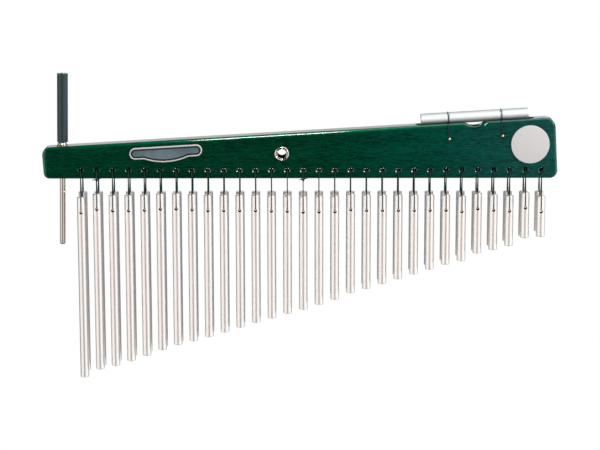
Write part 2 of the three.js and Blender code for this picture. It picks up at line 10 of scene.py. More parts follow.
import bmesh
import bpy
import mathutils
import numpy as np
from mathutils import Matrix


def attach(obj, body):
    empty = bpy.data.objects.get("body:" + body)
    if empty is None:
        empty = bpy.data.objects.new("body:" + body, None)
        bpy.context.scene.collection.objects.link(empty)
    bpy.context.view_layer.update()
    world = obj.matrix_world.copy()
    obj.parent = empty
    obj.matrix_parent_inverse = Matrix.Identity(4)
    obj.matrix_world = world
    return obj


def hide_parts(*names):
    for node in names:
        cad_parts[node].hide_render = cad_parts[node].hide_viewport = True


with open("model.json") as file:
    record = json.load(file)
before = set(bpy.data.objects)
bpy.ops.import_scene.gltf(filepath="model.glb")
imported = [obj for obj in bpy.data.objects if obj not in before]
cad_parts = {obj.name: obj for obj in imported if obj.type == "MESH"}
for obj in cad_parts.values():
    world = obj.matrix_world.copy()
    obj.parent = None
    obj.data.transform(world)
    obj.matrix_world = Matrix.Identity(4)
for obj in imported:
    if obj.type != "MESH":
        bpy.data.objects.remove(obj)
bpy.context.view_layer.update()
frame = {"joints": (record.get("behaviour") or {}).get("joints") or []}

MM = 0.001

# Wooden bar
BASS_X = -262.3 * MM
TREBLE_X = 304.1 * MM
BOTTOM_Z = -27.95 * MM
BASS_HEIGHT = 34.7 * MM
SLOPE = math.radians(3.34)            # of the top edge
HALF_THICKNESS = 10 * MM
EDGE_ROUND = 2.5 * MM
ARRIS = np.radians([68, 87])          # on the rolled edge, between these angles, a sanded flat
EDGE_LIGHT_WIDTH = 4 * MM               # width of the painted light along the top edge and at the ends
CORNER_ROUNDS = np.array([6.5, 8.5, 11, 9]) * MM    # bass bottom, treble bottom, treble top, bass top
CUT_OVERRUN = 2 * MM                  # of a cutter past the surface that it cuts

# Axes of the top edge's own frame: along it, across the bar, and up out of it
TOP_AXES = np.array([
    [math.cos(SLOPE), 0, math.sin(SLOPE)],
    [0, 1, 0],
    [-math.sin(SLOPE), 0, math.cos(SLOPE)],
])

# String holes
HOLE_RADIUS = 2.4 * MM
MOUTH_RADIUS = 3.7 * MM
MOUTH_DEPTH = 0.95 * MM               # of the lacquered countersink
HOLE_DROP = 1.2 * MM                  # pivot of a rod's cord below the middle of its hole

# Rods
ROD_RADIUS = 4.75 * MM
ROD_CHAMFER = 0.45 * MM
ROD_DROP = 26.2 * MM                  # pivot to the top of a rod
LONGEST_ROD = 204.9 * MM
ROD_STEP = 5.5 * MM
PATTERN_LENGTH = 60 * MM              # of the rod that the others are copied from
CROSS_HOLE_RADIUS = 1.85 * MM
CROSS_HOLE_DROP = 17 * MM
CROSS_HOLE_SINK = 0.15 * MM           # countersink round the cross hole
# Front rods, counted from the bass end, that hang lower than the rest by so many mm, or higher
UNEVEN_DROPS = {
    1: 2.1, 2: -1.6, 5: -0.6, 6: -1.8, 7: -2, 8: -0.9, 13: 0.6, 14: 0.7, 15: 1.7, 16: 1.4, 17: 1.3,
    18: -0.9, 25: 1.5, 26: -1.7, 28: 1, 29: -2.4, 30: 1.8,
}

# Cords of the rods
CORD_RADIUS = 0.5 * MM
STRAND_PITCH = 3 * CORD_RADIUS        # between the two strands of a loop at the mouth of its hole
PIVOT_STANDOFF = 0.8 * MM             # of a loop's pivot off the bar
CORD_TUCK = 1.5 * MM                  # from the pivot to the end of a loop inside its hole
LOOP_GAP = 0.8 * MM                   # between the side of a rod and the middle of its cord
CORD_BITE = 0.2 * MM                  # of the cord into the top of the cross hole that rests on it
LOOP_EDGE_GAP = 0.3 * MM              # below the bar, where the inner strand bends to its rod
LOOP_BENDS = np.array([1, 1.2, 6, 0.9, 0.9, 6, 6, 0.9, 1]) * MM     # its ends don't bend
BORE_STRAND_SHIFT = 1.1 * CORD_RADIUS     # of each strand from the middle of the string hole
BORE_STRAND_STRAIGHT = 0.4            # share of its way
BORE_STRAND_BEND = 4 * MM
KNOTTED_RODS = ("chime_front_02", "chime_front_15")
KNOT_SIZE = 0.68 * MM
KNOT_DROP = 0.5 * MM                  # below the bar
KNOT_CORD_RADIUS = 0.45 * MM          # drawn tight
KNOT_ENDS = np.array([                # routes of its two cut ends
    [[0, 0, 0], [-2.2, -0.5, -0.2], [-4.8, -0.8, -0.5]],
    [[0, 0, 0], [2.4, -0.6, 0.6], [4.6, -0.9, 1.6]],
]) * MM
KNOT_END_BEND = 2 * MM

# Stand ferrule
FERRULE_BORE = 5 * MM
FERRULE_TUBE = 6.35 * MM
FERRULE_LIP = 7.95 * MM
FERRULE_SEAT = 10.05 * MM             # of its lips, from the middle of the bar
FERRULE_FACE = 11.9 * MM
FERRULE_GROOVE = 1.2 * MM             # depth of the groove between the lips
FERRULE_GROOVE_DRAFT = 0.05 * MM      # slant of the groove's walls
FERRULE_INNER_LIP = 0.7 * MM
FERRULE_INNER_SINK = 0.3 * MM         # of the inner lip below the outer one
FERRULE_CHROME_DEPTH = 0.8 * MM            # depth inside its lips that is chrome; deeper in, the bore and the groove's floor are black and dead matt

# Beater and its ferrule
BEATER_X = -242.3 * MM
BEATER_LEAN = math.radians(1.2)       # to the treble side, loose in its hole
BEATER_RADIUS = 3.1 * MM
BEATER_TIP_ROUND = 2.2 * MM
BEATER_DOME = 0.8 * MM
BEATER_LENGTH = 192 * MM
BEATER_HOLE = 3.9 * MM
GRIP_RADIUS = 5.95 * MM
GRIP_EDGE = 0.3 * MM
GRIP_INNER_EDGE = 0.2 * MM
GRIP_LENGTH = 76 * MM
GRIP_BOTTOM = 21.93 * MM              # along the beater from the middle of its hole
BEATER_FERRULE_BASE = 6.35 * MM
BEATER_FERRULE_TOP = 4.8 * MM
BEATER_FERRULE_HEIGHT = 3.3 * MM
BEATER_FLANGE = 0.8 * MM
BEATER_NECK_RISE = 1.3 * MM           # where the flange has swept up into the neck
BEATER_NECK_FLARE = 0.4 * MM

# Tone bar on the top edge
TONE_X = 212.4 * MM
TONE_RADIUS = 6.35 * MM
TONE_HALF_LENGTH = 59.2 * MM
TONE_CHAMFER = 0.5 * MM
TONE_AXIS_RISE = 5.2 * MM             # of its axis over the top edge
TONE_GROOVE_DEPTH = 0.4 * MM
TONE_GROOVE_HALF_WIDTH = 1.25 * MM
TONE_GROOVE_EASE = 0.35 * MM
TONE_CORD_REACH = 29.2 * MM
TONE_CORD_CLIMB = 1.2 * MM            # in one turn
TONE_CORD_BEND = 0.8 * MM
LEAVE_ANGLE = math.radians(30)        # where a cord leaves the tone bar, from its lowest point
POCKET_HALF_LENGTH = 65.5 * MM
POCKET_HALF_WIDTH = 6.8 * MM
POCKET_DEPTH = 3.9 * MM
SCOOP_RADIUS = 20.6 * MM
SCOOP_DEPTH = 4.5 * MM
SCOOP_FALL = math.radians(3.9)        # of its floor, to the rear
SCOOP_ROUND = 2.5 * MM
SCOOP_MARGIN = 0.1 * MM               # by which a face of its floor may miss its radius
PIN_DROP = 16.6 * MM
PIN_SHANK = 0.7 * MM
PIN_HEAD = 1.55 * MM
PIN_HEAD_BASE = 11.6 * MM             # from the middle of the bar
PIN_HEAD_HEIGHT = 1.3 * MM
PIN_DEPTH = 8 * MM

# Name plate and badge
PLATE_X = -127.6 * MM
PLATE_DROP = 12.5 * MM
PLATE_HALF_SPAN = 33.6 * MM
PLATE_END = 6.5 * MM
PLATE_BELLY_RADIUS = 66.2 * MM
PLATE_BELLY = 4.7 * MM
PLATE_FILLET = 8 * MM                 # hollow between the straight lower edge and the belly
PLATE_RIM = 1.7 * MM
PLATE_HEIGHT = 2.5 * MM
PLATE_FLOOR = 1.1 * MM
# Black painted shade in the name plate's groove: how far it stands off the metal, and its lap over the
# inlay's edge
SHADE_COAT = 0.03 * MM
SHADE_BORDER = 0.6 * MM              # over the edge of the inlay
INLAY_INSET = 2.8 * MM
INLAY_TOP = 1.8 * MM
INLAY_EDGE = 0.15 * MM
BADGE_X = 273.1 * MM
BADGE_Z = 9.95 * MM
BADGE_RADIUS = 21.1 * MM
BADGE_RIM = 1.5 * MM                  # height of its edge off the bar
BADGE_EDGE = 0.6 * MM
BADGE_CROWN = 0.9 * MM

# Fineness of the meshes
ROD_SIDES = 48
ROUND_SIDES = 72
HOLE_SIDES = 40
CORD_SIDES = 10
CORNER_STEPS = 12
BEND_STEPS = 6
MERGE_DISTANCE = 1e-7
SHARP_ANGLE = math.radians(32)

# Camera of the photograph
CAMERA_PLACE = (19.9 * MM, -2377.8 * MM, 400.4 * MM)
CAMERA_PITCH = math.radians(11.471)   # below level
CAMERA_ROLL = math.radians(-0.085)    # turned by a hair
CAMERA_LENS = 130.98                  # mm, as the sensor's width
SENSOR_WIDTH = 36
CAMERA_REACH = 100

# Studio, with levels where 1 is white
FLOOR_RADIUS = 1.5
FLOOR_Z = -2.0
FLOOR_THICKNESS = 0.02
WALL_LEVEL = 1.15
RIGHT_WALL_TURN = 0.45                # how far the right wall reaches to the rear
FRONT_LEVEL = 0.02
REAR_COLOUR = "#7b8f96"
BACKDROP_LEVEL = 1.12


# Points, outlines and meshes

def unit(vectors):
    """Each vector divided by its own length."""
    return vectors / np.linalg.norm(vectors, axis=-1, keepdims=True)


def top_z(x):
    """Height of the sloping top edge of the bar over x."""
    return BOTTOM_Z + BASS_HEIGHT + (x - BASS_X) * math.tan(SLOPE)


def on_top_edge(points, x, lift=0.0):
    """Points along, across and above the sloping top edge over x, turned into the part's frame."""
    return np.array([x, 0, top_z(x) + lift]) + points @ TOP_AXES


def corner_arcs(corners, radii, steps):
    """Round the corners of a closed straight-sided line.

    Each corner has its centre on its bisector, radius / sin(half angle) in from the corner. A spoke
    turns about it at equal angles, from square to one side to square to the other. Returns the
    centre, the spoke and the radius of each point.
    """
    corners = np.asarray(corners, float)
    radii = np.broadcast_to(radii, len(corners))
    back = unit(np.roll(corners, 1, axis=0) - corners)
    ahead = unit(np.roll(corners, -1, axis=0) - corners)
    half_angle = np.arccos(np.clip((back * ahead).sum(axis=1), -1, 1)) / 2
    centre = corners + unit(back + ahead) * (radii / np.sin(half_angle))[:, None]
    reach = (radii / np.tan(half_angle))[:, None]
    first = unit(corners + back * reach - centre)
    last = unit(corners + ahead * reach - centre)
    turn = np.pi - 2 * half_angle
    share = np.linspace(0, 1, steps + 1)
    lead = np.sin(np.outer(turn, 1 - share)) / np.sin(turn)[:, None]
    trail = np.sin(np.outer(turn, share)) / np.sin(turn)[:, None]
    spokes = lead[..., None] * first[:, None] + trail[..., None] * last[:, None]
    centres = np.broadcast_to(centre[:, None], spokes.shape)
    size = corners.shape[1]
    return centres.reshape(-1, size), spokes.reshape(-1, size), np.repeat(radii, steps + 1)


def rounded(corners, radii, steps=CORNER_STEPS):
    """A closed line with an arc at each corner: centre + radius * spoke."""
    centres, spokes, sizes = corner_arcs(corners, radii, steps)
    return centres + spokes * sizes[:, None]


def bent_route(points, radius):
    """An open route through points, with an arc of the given radius at each bend between its ends."""
    points = np.asarray(points, float)
    radii = np.broadcast_to(radius, len(points))
    bends = rounded(points, radii, BEND_STEPS)[BEND_STEPS + 1:-BEND_STEPS - 1]
    return np.vstack([points[:1], bends, points[-1:]])


def grid_faces(rows, columns, closed_rows):
    """Corners of the quads of a grid whose columns join round, and whose rows may too."""
    row = np.arange(rows if closed_rows else rows - 1)[:, None, None]
    column = np.arange(columns)[None, :, None]
    down = np.array([0, 0, 1, 1])
    over = np.array([0, 1, 1, 0])
    return ((row + down) % rows * columns + (column + over) % columns).reshape(-1, 4)


def skin(name, grid, closed_rows=False, caps=True):
    """A closed mesh over a grid of points, with flat caps on its first and last rows.

    Columns join round. A row of equal points is a pole. A UV map holds the share of the way round,
    and the distance along the rows.
    """
    rows, columns = grid.shape[:2]
    points = grid.reshape(-1, 3)
    faces = grid_faces(rows, columns, closed_rows)
    ends = [] if closed_rows or not caps else [
        np.arange(columns)[::-1].tolist(),
        (np.arange(columns) + (rows - 1) * columns).tolist(),
    ]
    mesh = bpy.data.meshes.new(name)
    mesh.from_pydata(points.tolist(), [], faces.tolist() + ends)
    steps = np.linalg.norm(np.diff(grid, axis=0), axis=2).mean(axis=1)
    distance = np.concatenate([[0], np.cumsum(steps), [0]])
    row = np.repeat(np.arange(len(faces) // columns), columns)[:, None]
    column = np.tile(np.arange(columns), len(faces) // columns)[:, None]
    round_share = (column + [0, 1, 1, 0]) / columns
    uv = np.zeros((len(mesh.loops), 2), np.float32)
    uv[:faces.size] = np.stack([round_share, distance[row + [0, 0, 1, 1]]], axis=-1).reshape(-1, 2)
    mesh.uv_layers.new(name="UVMap").data.foreach_set("uv", uv.ravel())
    merge_and_smooth(mesh)
    return mesh


def merge_and_smooth(mesh):
    """Close poles and seams, turn the faces outwards, and shade smooth up to a sharp angle."""
    work = bmesh.new()
    work.from_mesh(mesh)
    bmesh.ops.remove_doubles(work, verts=work.verts, dist=MERGE_DISTANCE)
    bmesh.ops.recalc_face_normals(work, faces=work.faces)
    work.to_mesh(mesh)
    work.free()
    mesh.shade_smooth()
    mesh.set_sharp_from_angle(angle=SHARP_ANGLE)


def turned(section, sides, origin=(0, 0, 0), axis=(0, 0, 1)):
    """A section of radius and height, turned about an axis: origin + height * axis + radius * spoke."""
    axis = unit(np.asarray(axis, float))
    side = np.array([1.0, 0, 0]) if abs(axis[0]) < 0.9 else np.array([0, 1.0, 0])
    first = unit(side - axis * (side @ axis))
    second = np.cross(axis, first)
    angle = np.linspace(0, 2 * np.pi, sides, endpoint=False)[:, None]
    spokes = np.cos(angle) * first + np.sin(angle) * second
    radius, height = np.asarray(section, float).T
    return np.asarray(origin) + height[:, None, None] * axis + radius[:, None, None] * spokes


def tube(path, radius, across, sides=CORD_SIDES):
    """A round section carried along a path, closed by a flat disc at each end.

    The section's plane holds the part of the across direction that is square to the path, and the
    cross product of both: point = path + radius * (cos * normal + sin * binormal).
    """
    ahead = unit(np.gradient(path, axis=0))
    across = np.broadcast_to(np.asarray(across, float), path.shape)
    normal = unit(across - ahead * (across * ahead).sum(axis=1, keepdims=True))
    binormal = np.cross(ahead, normal)
    angle = np.linspace(0, 2 * np.pi, sides, endpoint=False)[None, :, None]
    ring = np.cos(angle) * normal[:, None] + np.sin(angle) * binormal[:, None]
    return path[:, None] + radius * ring


def joined(name, meshes):
    """Several meshes as one."""
    work = bmesh.new()
    for mesh in meshes:
        work.from_mesh(mesh)
        bpy.data.meshes.remove(mesh)
    whole = bpy.data.meshes.new(name)
    work.to_mesh(whole)
    work.free()
    return whole


def place_object(name, mesh):
    """An object at the origin, with its place in its mesh."""
    placed = bpy.data.objects.new(name, mesh)
    bpy.context.scene.collection.objects.link(placed)
    return placed


def cut(mesh, cutter):
    """The mesh with the cutter's volume taken out of it."""
    blank = place_object("blank", mesh)
    tool = place_object("cutter", cutter)
    boolean = blank.modifiers.new("cut", "BOOLEAN")
    boolean.operation = "DIFFERENCE"
    boolean.solver = "EXACT"
    boolean.object = tool
    graph = bpy.context.evaluated_depsgraph_get()
    result = bpy.data.meshes.new_from_object(blank.evaluated_get(graph))
    bpy.data.objects.remove(blank)
    bpy.data.objects.remove(tool)
    merge_and_smooth(result)
    return result


def add_piece(name, mesh, finish, body, slot, *nodes):
    """A piece of the object, riding on a body and standing for the given nodes."""
    piece = place_object(name, mesh)
    mesh.materials.append(finish)
    even_shading = piece.modifiers.new("even shading", "WEIGHTED_NORMAL")
    even_shading.keep_sharp = True
    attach(piece, body)
    if nodes:
        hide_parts(*nodes)
    return piece


# Materials

def linear(colour):
    """An sRGB hex colour as linear red, green, blue and alpha."""
    srgb = np.array([int(colour[i:i + 2], 16) for i in (1, 3, 5)]) / 255
    light = np.where(srgb <= 0.04045, srgb / 12.92, ((srgb + 0.055) / 1.055) ** 2.4)
    return (*light.tolist(), 1.0)


def add_node(tree, kind, inputs, **settings):
    """Add a node with its settings, and set or link its inputs, each by its name or its number.

    A node that is given to an input stands for the first of its outputs in use.
    """
    node = tree.nodes.new(kind)
    for name, value in settings.items():
        setattr(node, name, value)
    for name, value in inputs.items():
        named = [socket for socket in node.inputs if socket.enabled and socket.name == name]
        socket = named[0] if named else node.inputs[name]
        if isinstance(value, bpy.types.Node):
            value = next(output for output in value.outputs if output.enabled)
        if isinstance(value, bpy.types.NodeSocket):
            tree.links.new(value, socket)
        else:
            socket.default_value = value
    return node


def new_material(name):
    """An empty material, its node tree and its texture coordinates."""
    material = bpy.data.materials.new(name)
    material.use_nodes = True
    tree = material.node_tree
    tree.nodes.clear()
    return material, tree, add_node(tree, "ShaderNodeTexCoord", {})


def stained_hardwood():
    """Open-pored hardwood, stained emerald and sprayed with gloss lacquer.

    Grain streaks about 9 mm long and 1 mm high, pores 4 mm long, and slow bands of deeper stain lie
    under a clear coat that mirrors the room. The coat has a faint ripple, 14 mm long and 2.5 mm high,
    that breaks up glints. Painted light: a brighter emerald band just below the top edge, strongest in
    the middle of the bar and patchy with the grain, another at each end, and a paler, bluer treble end.
    """
    material, tree, coords = new_material("stained hardwood under gloss lacquer")
    place = coords.outputs["Object"]
    patterns = []
    # Length, depth and height in mm of streaks, pores, bands and ripple
    for sizes in ((9, 1.6, 1), (4, 0.8, 0.55), (90, 20, 11), (14, 3, 2.5)):
        scaled = add_node(tree, "ShaderNodeMapping", {
            "Vector": place, "Scale": [1 / (size * MM) for size in sizes]})
        patterns.append(add_node(tree, "ShaderNodeTexNoise", {
            "Vector": scaled, "Scale": 1.0, "Detail": 3.0, "Roughness": 0.6, "Distortion": 0.25}))
    streaks, pores, bands, ripple = patterns

    streak_share = add_node(tree, "ShaderNodeMapRange", {
        "Value": streaks, "From Min": 0.36, "From Max": 0.64})
    band_share = add_node(tree, "ShaderNodeMapRange", {
        "Value": bands, "From Min": 0.35, "From Max": 0.65})
    figure = add_node(tree, "ShaderNodeMix", {"Factor": 0.3, "A": streak_share, "B": band_share})
    along, _, height = add_node(tree, "ShaderNodeSeparateXYZ", {"Vector": place}).outputs
    # Painted light: the stain turns paler and bluer towards the treble end, where more light falls from the
    # right
    treble_light_share = add_node(tree, "ShaderNodeMapRange", {
        "Value": along, "From Min": 0.05, "From Max": 0.29})
    deep, bright = [
        add_node(tree, "ShaderNodeMix", {
            "Factor": treble_light_share, "A": linear(bass), "B": linear(treble)}, data_type="RGBA")
        for bass, treble in (("#001f13", "#003029"), ("#00432c", "#01544c"))
    ]
    grain = add_node(tree, "ShaderNodeMix", {"Factor": figure, "A": deep, "B": bright}, data_type="RGBA")
    pore_share = add_node(tree, "ShaderNodeMapRange", {
        "Value": pores, "From Min": 0.36, "From Max": 0.48, "To Min": 0.7, "To Max": 0.0})
    stain = add_node(tree, "ShaderNodeMix", {
        "Factor": pore_share, "A": grain, "B": linear("#00120b")}, data_type="RGBA")

    edge_height = add_node(tree, "ShaderNodeMath", {
        0: along, 1: math.tan(SLOPE), 2: top_z(0)}, operation="MULTIPLY_ADD")
    below = add_node(tree, "ShaderNodeMath", {0: edge_height, 1: height}, operation="SUBTRACT")
    # Painted light from above: a band just below the top edge, most of all in the middle of the bar
    edge_light = 1.0
    for value, start, end, low, high in (
        (below, 0.05 * MM, 0.8 * MM, 0.0, 1.0),
        (below, 0.8 * MM, EDGE_LIGHT_WIDTH, 1.0, 0.0),
        (along, -0.25, -0.05, 0.25, 1.0),
        (along, 0.10, 0.27, 1.0, 0.0),
    ):
        share = add_node(tree, "ShaderNodeMapRange", {
            "Value": value, "From Min": start, "From Max": end, "To Min": low, "To Max": high})
        edge_light = add_node(tree, "ShaderNodeMath", {0: edge_light, 1: share}, operation="MULTIPLY")
    # Painted light along both ends as well, where light from the sides falls
    for end, inward in ((BASS_X, 1), (TREBLE_X, -1)):
        near = add_node(tree, "ShaderNodeMapRange", {
            "Value": along, "From Min": end, "From Max": end + inward * EDGE_LIGHT_WIDTH,
            "To Min": 0.7, "To Max": 0.0})
        edge_light = add_node(tree, "ShaderNodeMath", {0: edge_light, 1: near}, operation="MAXIMUM")
    # The painted light is patchy with the grain streaks
    edge_light_patches = add_node(tree, "ShaderNodeMapRange", {
        "Value": streaks, "From Min": 0.3, "From Max": 0.6, "To Min": 0.35, "To Max": 1.0})
    edge_light = add_node(tree, "ShaderNodeMath", {0: edge_light, 1: edge_light_patches}, operation="MULTIPLY")
    # Bright emerald where the painted light lies
    colour = add_node(tree, "ShaderNodeMix", {
        "Factor": edge_light, "A": stain, "B": linear("#007a52")}, data_type="RGBA")

    open_pores = add_node(tree, "ShaderNodeBump", {
        "Height": pores, "Strength": 0.25, "Distance": 0.05 * MM})
    rippled_coat = add_node(tree, "ShaderNodeBump", {
        "Height": ripple, "Strength": 1.0, "Distance": 0.05 * MM})
    shader = add_node(tree, "ShaderNodeBsdfPrincipled", {
        "Base Color": colour,
        "Roughness": 0.5,
        "Specular IOR Level": 0.0,
        "Normal": open_pores,
        "Coat Normal": rippled_coat,
        "Coat Weight": 1.0,
        "Coat Roughness": 0.06,
        "Coat IOR": 1.5,
    })
    add_node(tree, "ShaderNodeOutputMaterial", {"Surface": shader})
    return material


def drawn_metal(name, colours, roughness, spread, lines, glide=0.0):
    """Metal with fine lines on it, as drawing, turning or polishing leaves them.

    Lines is their size in mm along X, Y and Z. They vary the colour between the two that are given,
    and the roughness by the spread, and are as wide as they need to be to show at a step away. Glide
    stretches reflections along the axis of a turned piece, square to the turning marks.
    """
    material, tree, coords = new_material(name)
    scaled = add_node(tree, "ShaderNodeMapping", {
        "Vector": coords.outputs["Object"], "Scale": [1 / (size * MM) for size in lines]})
    streaks = add_node(tree, "ShaderNodeTexNoise", {"Vector": scaled, "Scale": 1.0, "Detail": 2.0})
    tone = add_node(tree, "ShaderNodeMix", {
        "Factor": streaks, "A": linear(colours[0]), "B": linear(colours[1])}, data_type="RGBA")
    gloss = add_node(tree, "ShaderNodeMapRange", {
        "Value": streaks, "From Min": 0.3, "From Max": 0.7,
        "To Min": roughness - spread, "To Max": roughness + spread})
    around = add_node(tree, "ShaderNodeTangent", {}, direction_type="UV_MAP", uv_map="UVMap")
    shader = add_node(tree, "ShaderNodeBsdfPrincipled", {
        "Base Color": tone,
        "Metallic": 1.0,
        "Roughness": gloss,
        "Anisotropic": glide,
        "Anisotropic Rotation": 0.25,
        "Tangent": around,
    })
    add_node(tree, "ShaderNodeOutputMaterial", {"Surface": shader})
    return material


def speckled_paint(name, colours, grain, roughness, bump=0.01, metallic=0.0, specular=0.5, sheen_patch_size=None):
    """Paint or moulded skin with a fine irregular grain that varies its colour and stands in relief.

    Grain, bump and patch size are in mm: the grain's size, its relief, and the length of slow, cloudy
    patches of lighter and darker colour, if it has them, which are painted reflection. A dead matt
    surface has a specular level of 0.
    """
    material, tree, coords = new_material(name)
    place = coords.outputs["Object"]
    speckle = add_node(tree, "ShaderNodeTexNoise", {
        "Vector": place, "Scale": 1 / (grain * MM), "Detail": 2.0})
    share = speckle
    # Painted reflection: slow, cloudy patches that lighten and darken the colour
    if sheen_patch_size:
        painted_sheen = add_node(tree, "ShaderNodeMapRange", {
            "Value": add_node(tree, "ShaderNodeTexNoise", {
                "Vector": place, "Scale": 1 / (sheen_patch_size * MM), "Detail": 2.0}),
            "From Min": 0.35,
            "From Max": 0.65,
        })
        share = add_node(tree, "ShaderNodeMix", {"Factor": 0.75, "A": speckle, "B": painted_sheen})
    tone = add_node(tree, "ShaderNodeMix", {
        "Factor": share, "A": linear(colours[0]), "B": linear(colours[1])}, data_type="RGBA")
    relief = add_node(tree, "ShaderNodeBump", {
        "Height": speckle, "Strength": 0.4, "Distance": bump * MM})
    shader = add_node(tree, "ShaderNodeBsdfPrincipled", {
        "Base Color": tone,
        "Metallic": metallic,
        "Roughness": roughness,
        "Specular IOR Level": specular,
        "Normal": relief,
    })
    add_node(tree, "ShaderNodeOutputMaterial", {"Surface": shader})
    return material


def braided_cord():
    """Round braided polyester cord, dyed blue black: two sets of strands cross at a slant.

    Strands are about 0.6 mm wide, drawn along the UV map: the share of the way round, and the
    distance.
    """
    material, tree, coords = new_material("braided polyester cord")
    around, along, _ = add_node(tree, "ShaderNodeSeparateXYZ", {"Vector": coords.outputs["UV"]}).outputs
    strand_pitch = 1.6 * MM
    strands_round = 2
    waves = []
    for turn in (1, -1):
        lead = add_node(tree, "ShaderNodeMath", {
            0: around, 1: turn * strands_round * 2 * math.pi}, operation="MULTIPLY")
        phase = add_node(tree, "ShaderNodeMath", {
            0: along, 1: 2 * math.pi / strand_pitch, 2: lead}, operation="MULTIPLY_ADD")
        waves.append(add_node(tree, "ShaderNodeMath", {0: phase}, operation="SINE"))
    over = add_node(tree, "ShaderNodeMath", {0: waves[0], 1: waves[1]}, operation="MAXIMUM")
    tone = add_node(tree, "ShaderNodeMix", {
        "Factor": over, "A": linear("#0d1d1f"), "B": linear("#213b3e")}, data_type="RGBA")
    relief = add_node(tree, "ShaderNodeBump", {"Height": over, "Strength": 0.5, "Distance": 0.06 * MM})
    shader = add_node(tree, "ShaderNodeBsdfPrincipled", {
        "Base Color": tone,
        "Roughness": 0.7,
        "Specular IOR Level": 0.12,
        "Normal": relief,
    })
    add_node(tree, "ShaderNodeOutputMaterial", {"Surface": shader})
    return material


wood = stained_hardwood()
# Drawn through a die: an even, soft sheen with faint lines along the rod
rod_aluminium = drawn_metal(
    "satin aluminium, drawn rod", ("#efe8e4", "#f9f4f0"), roughness=0.37, spread=0.03, lines=(0.6, 0.6, 60))
# The same metal with a duller finish: one broad pale highlight along its length
tone_aluminium = drawn_metal(
    "satin aluminium, tone bar", ("#d9dddc", "#e2e5e4"), roughness=0.68, spread=0.02,
    lines=(60, 0.6, 0.6), glide=0.5)
# Buffed: a slightly warm mirror, not quite even
plated_chrome = drawn_metal(
    "chrome plate, buffed", ("#e4dccd", "#f1eadf"), roughness=0.12, spread=0.04, lines=(2, 4, 2))
# Tumbled: softer and yellower than the chrome
warm_nickel = drawn_metal(
    "nickel plate, tumbled", ("#b3a48f", "#d0c3b2"), roughness=0.2, spread=0.04, lines=(1.5, 1.5, 3))
# Polished along its length: mirrors the room in long streaks
beater_steel = drawn_metal(
    "polished steel, drawn rod", ("#bdb2a5", "#cdc4b9"), roughness=0.1, spread=0.03, lines=(0.6, 0.6, 50))
# Left bright: small warm glints
pin_brass = drawn_metal(
    "brass, bright", ("#cdb587", "#e8d9b4"), roughness=0.25, spread=0.05, lines=(1.5, 1, 1))
# Cast and sprayed: a dull silver with a fine tooth
rim_silver = speckled_paint(
    "silver satin paint, cast rim", ("#b9b5b3", "#cbc7c5"), grain=0.5, roughness=0.5, metallic=0.1)
# Moulded: dark, smooth and half glossy
grip_sleeve = speckled_paint(
    "moulded rubber sleeve", ("#13262b", "#1a2f34"), grain=0.6, roughness=0.28, bump=0.02)
# Painted shade: black and half glossy, in the plate's groove and up the inner side of its rim
groove_shade_paint = speckled_paint("black painted shade", ("#0b0f12", "#171d21"), grain=0.8, roughness=0.35)
# Sprayed metallic slate grey; its slow, cloudy lighter and darker patches are painted reflection
inlay_paint = speckled_paint(
    "slate metallic paint", ("#6a7d84", "#3f525a"), grain=0.5, roughness=0.4, metallic=0.3, sheen_patch_size=24)
# Sprayed satin: an even silver white
badge_silver = speckled_paint(
    "silver white satin paint", ("#bfbab9", "#c8c4c3"), grain=0.7, roughness=0.6)
cord_braid = braided_cord()
# Cut and not lacquered, dead matt: near black, partly the soaked-in stain and partly painted shade in the
# string holes and on the scoop's floor under the tone bar
bare_wood_and_shade = speckled_paint(
    "bare cut hardwood, stained, with painted shade", ("#06100c", "#0d1b14"), grain=0.9, roughness=0.9, bump=0.05, specular=0.0)
# Black and dead matt: inside the stand ferrule's bore and on the floor of its groove
black_matt_steel = speckled_paint(
    "black dead matt steel", ("#0a1210", "#16211e"), grain=0.9, roughness=0.9, specular=0.0)
# Painted shade inside the cross holes, where the cord sits: dark grey and dead matt
cross_hole_shade = speckled_paint(
    "aluminium, cross hole painted dark as shade", ("#0d1416", "#1a2326"), grain=0.6, roughness=0.8,
    specular=0.0)


# Wooden bar

def bar_blank():
    """The bar before drilling.

    Its outline has an arc at each corner, and its edges roll over from the outline to the front and
    rear faces: inset = round * (1 - cos), depth = half thickness - round * (1 - sin). Sanding has
    left a narrow flat on the roll, next to the face.
    """
    def top_corner(x):
        height = (top_z(x) - BOTTOM_Z) * math.cos(SLOPE)
        return [x - height * math.sin(SLOPE), BOTTOM_Z + height * math.cos(SLOPE)]

    corners = [[BASS_X, BOTTOM_Z], [TREBLE_X, BOTTOM_Z], top_corner(TREBLE_X), top_corner(BASS_X)]
    centres, spokes, radii = corner_arcs(corners, CORNER_ROUNDS, CORNER_STEPS)
    roll = np.concatenate([np.linspace(0, ARRIS[0], CORNER_STEPS), ARRIS[1:], [np.pi / 2]])
    inset = EDGE_ROUND * (1 - np.cos(roll))
    depth = HALF_THICKNESS - EDGE_ROUND * (1 - np.sin(roll))
    inset = np.concatenate([inset[::-1], inset])
    depth = np.concatenate([-depth[::-1], depth])
    flat = centres + spokes * (radii - inset[:, None])[..., None]
    across = np.broadcast_to(depth[:, None], flat.shape[:2])
    return skin("wooden_bar_looks", np.stack([flat[..., 0], across, flat[..., 1]], axis=-1))


def string_hole_section():
    """Half section of a string hole's cutter: a bore with a shallow countersink at each mouth."""
    mouth = [(HOLE_RADIUS, HALF_THICKNESS - MOUTH_DEPTH), (MOUTH_RADIUS, HALF_THICKNESS)]
    slant = MOUTH_DEPTH / (MOUTH_RADIUS - HOLE_RADIUS)
    beyond = (MOUTH_RADIUS + CUT_OVERRUN, HALF_THICKNESS + CUT_OVERRUN * slant)
    rear = np.array([*mouth, beyond])
    front = rear[::-1] * [1, -1]
    return np.vstack([front, rear])


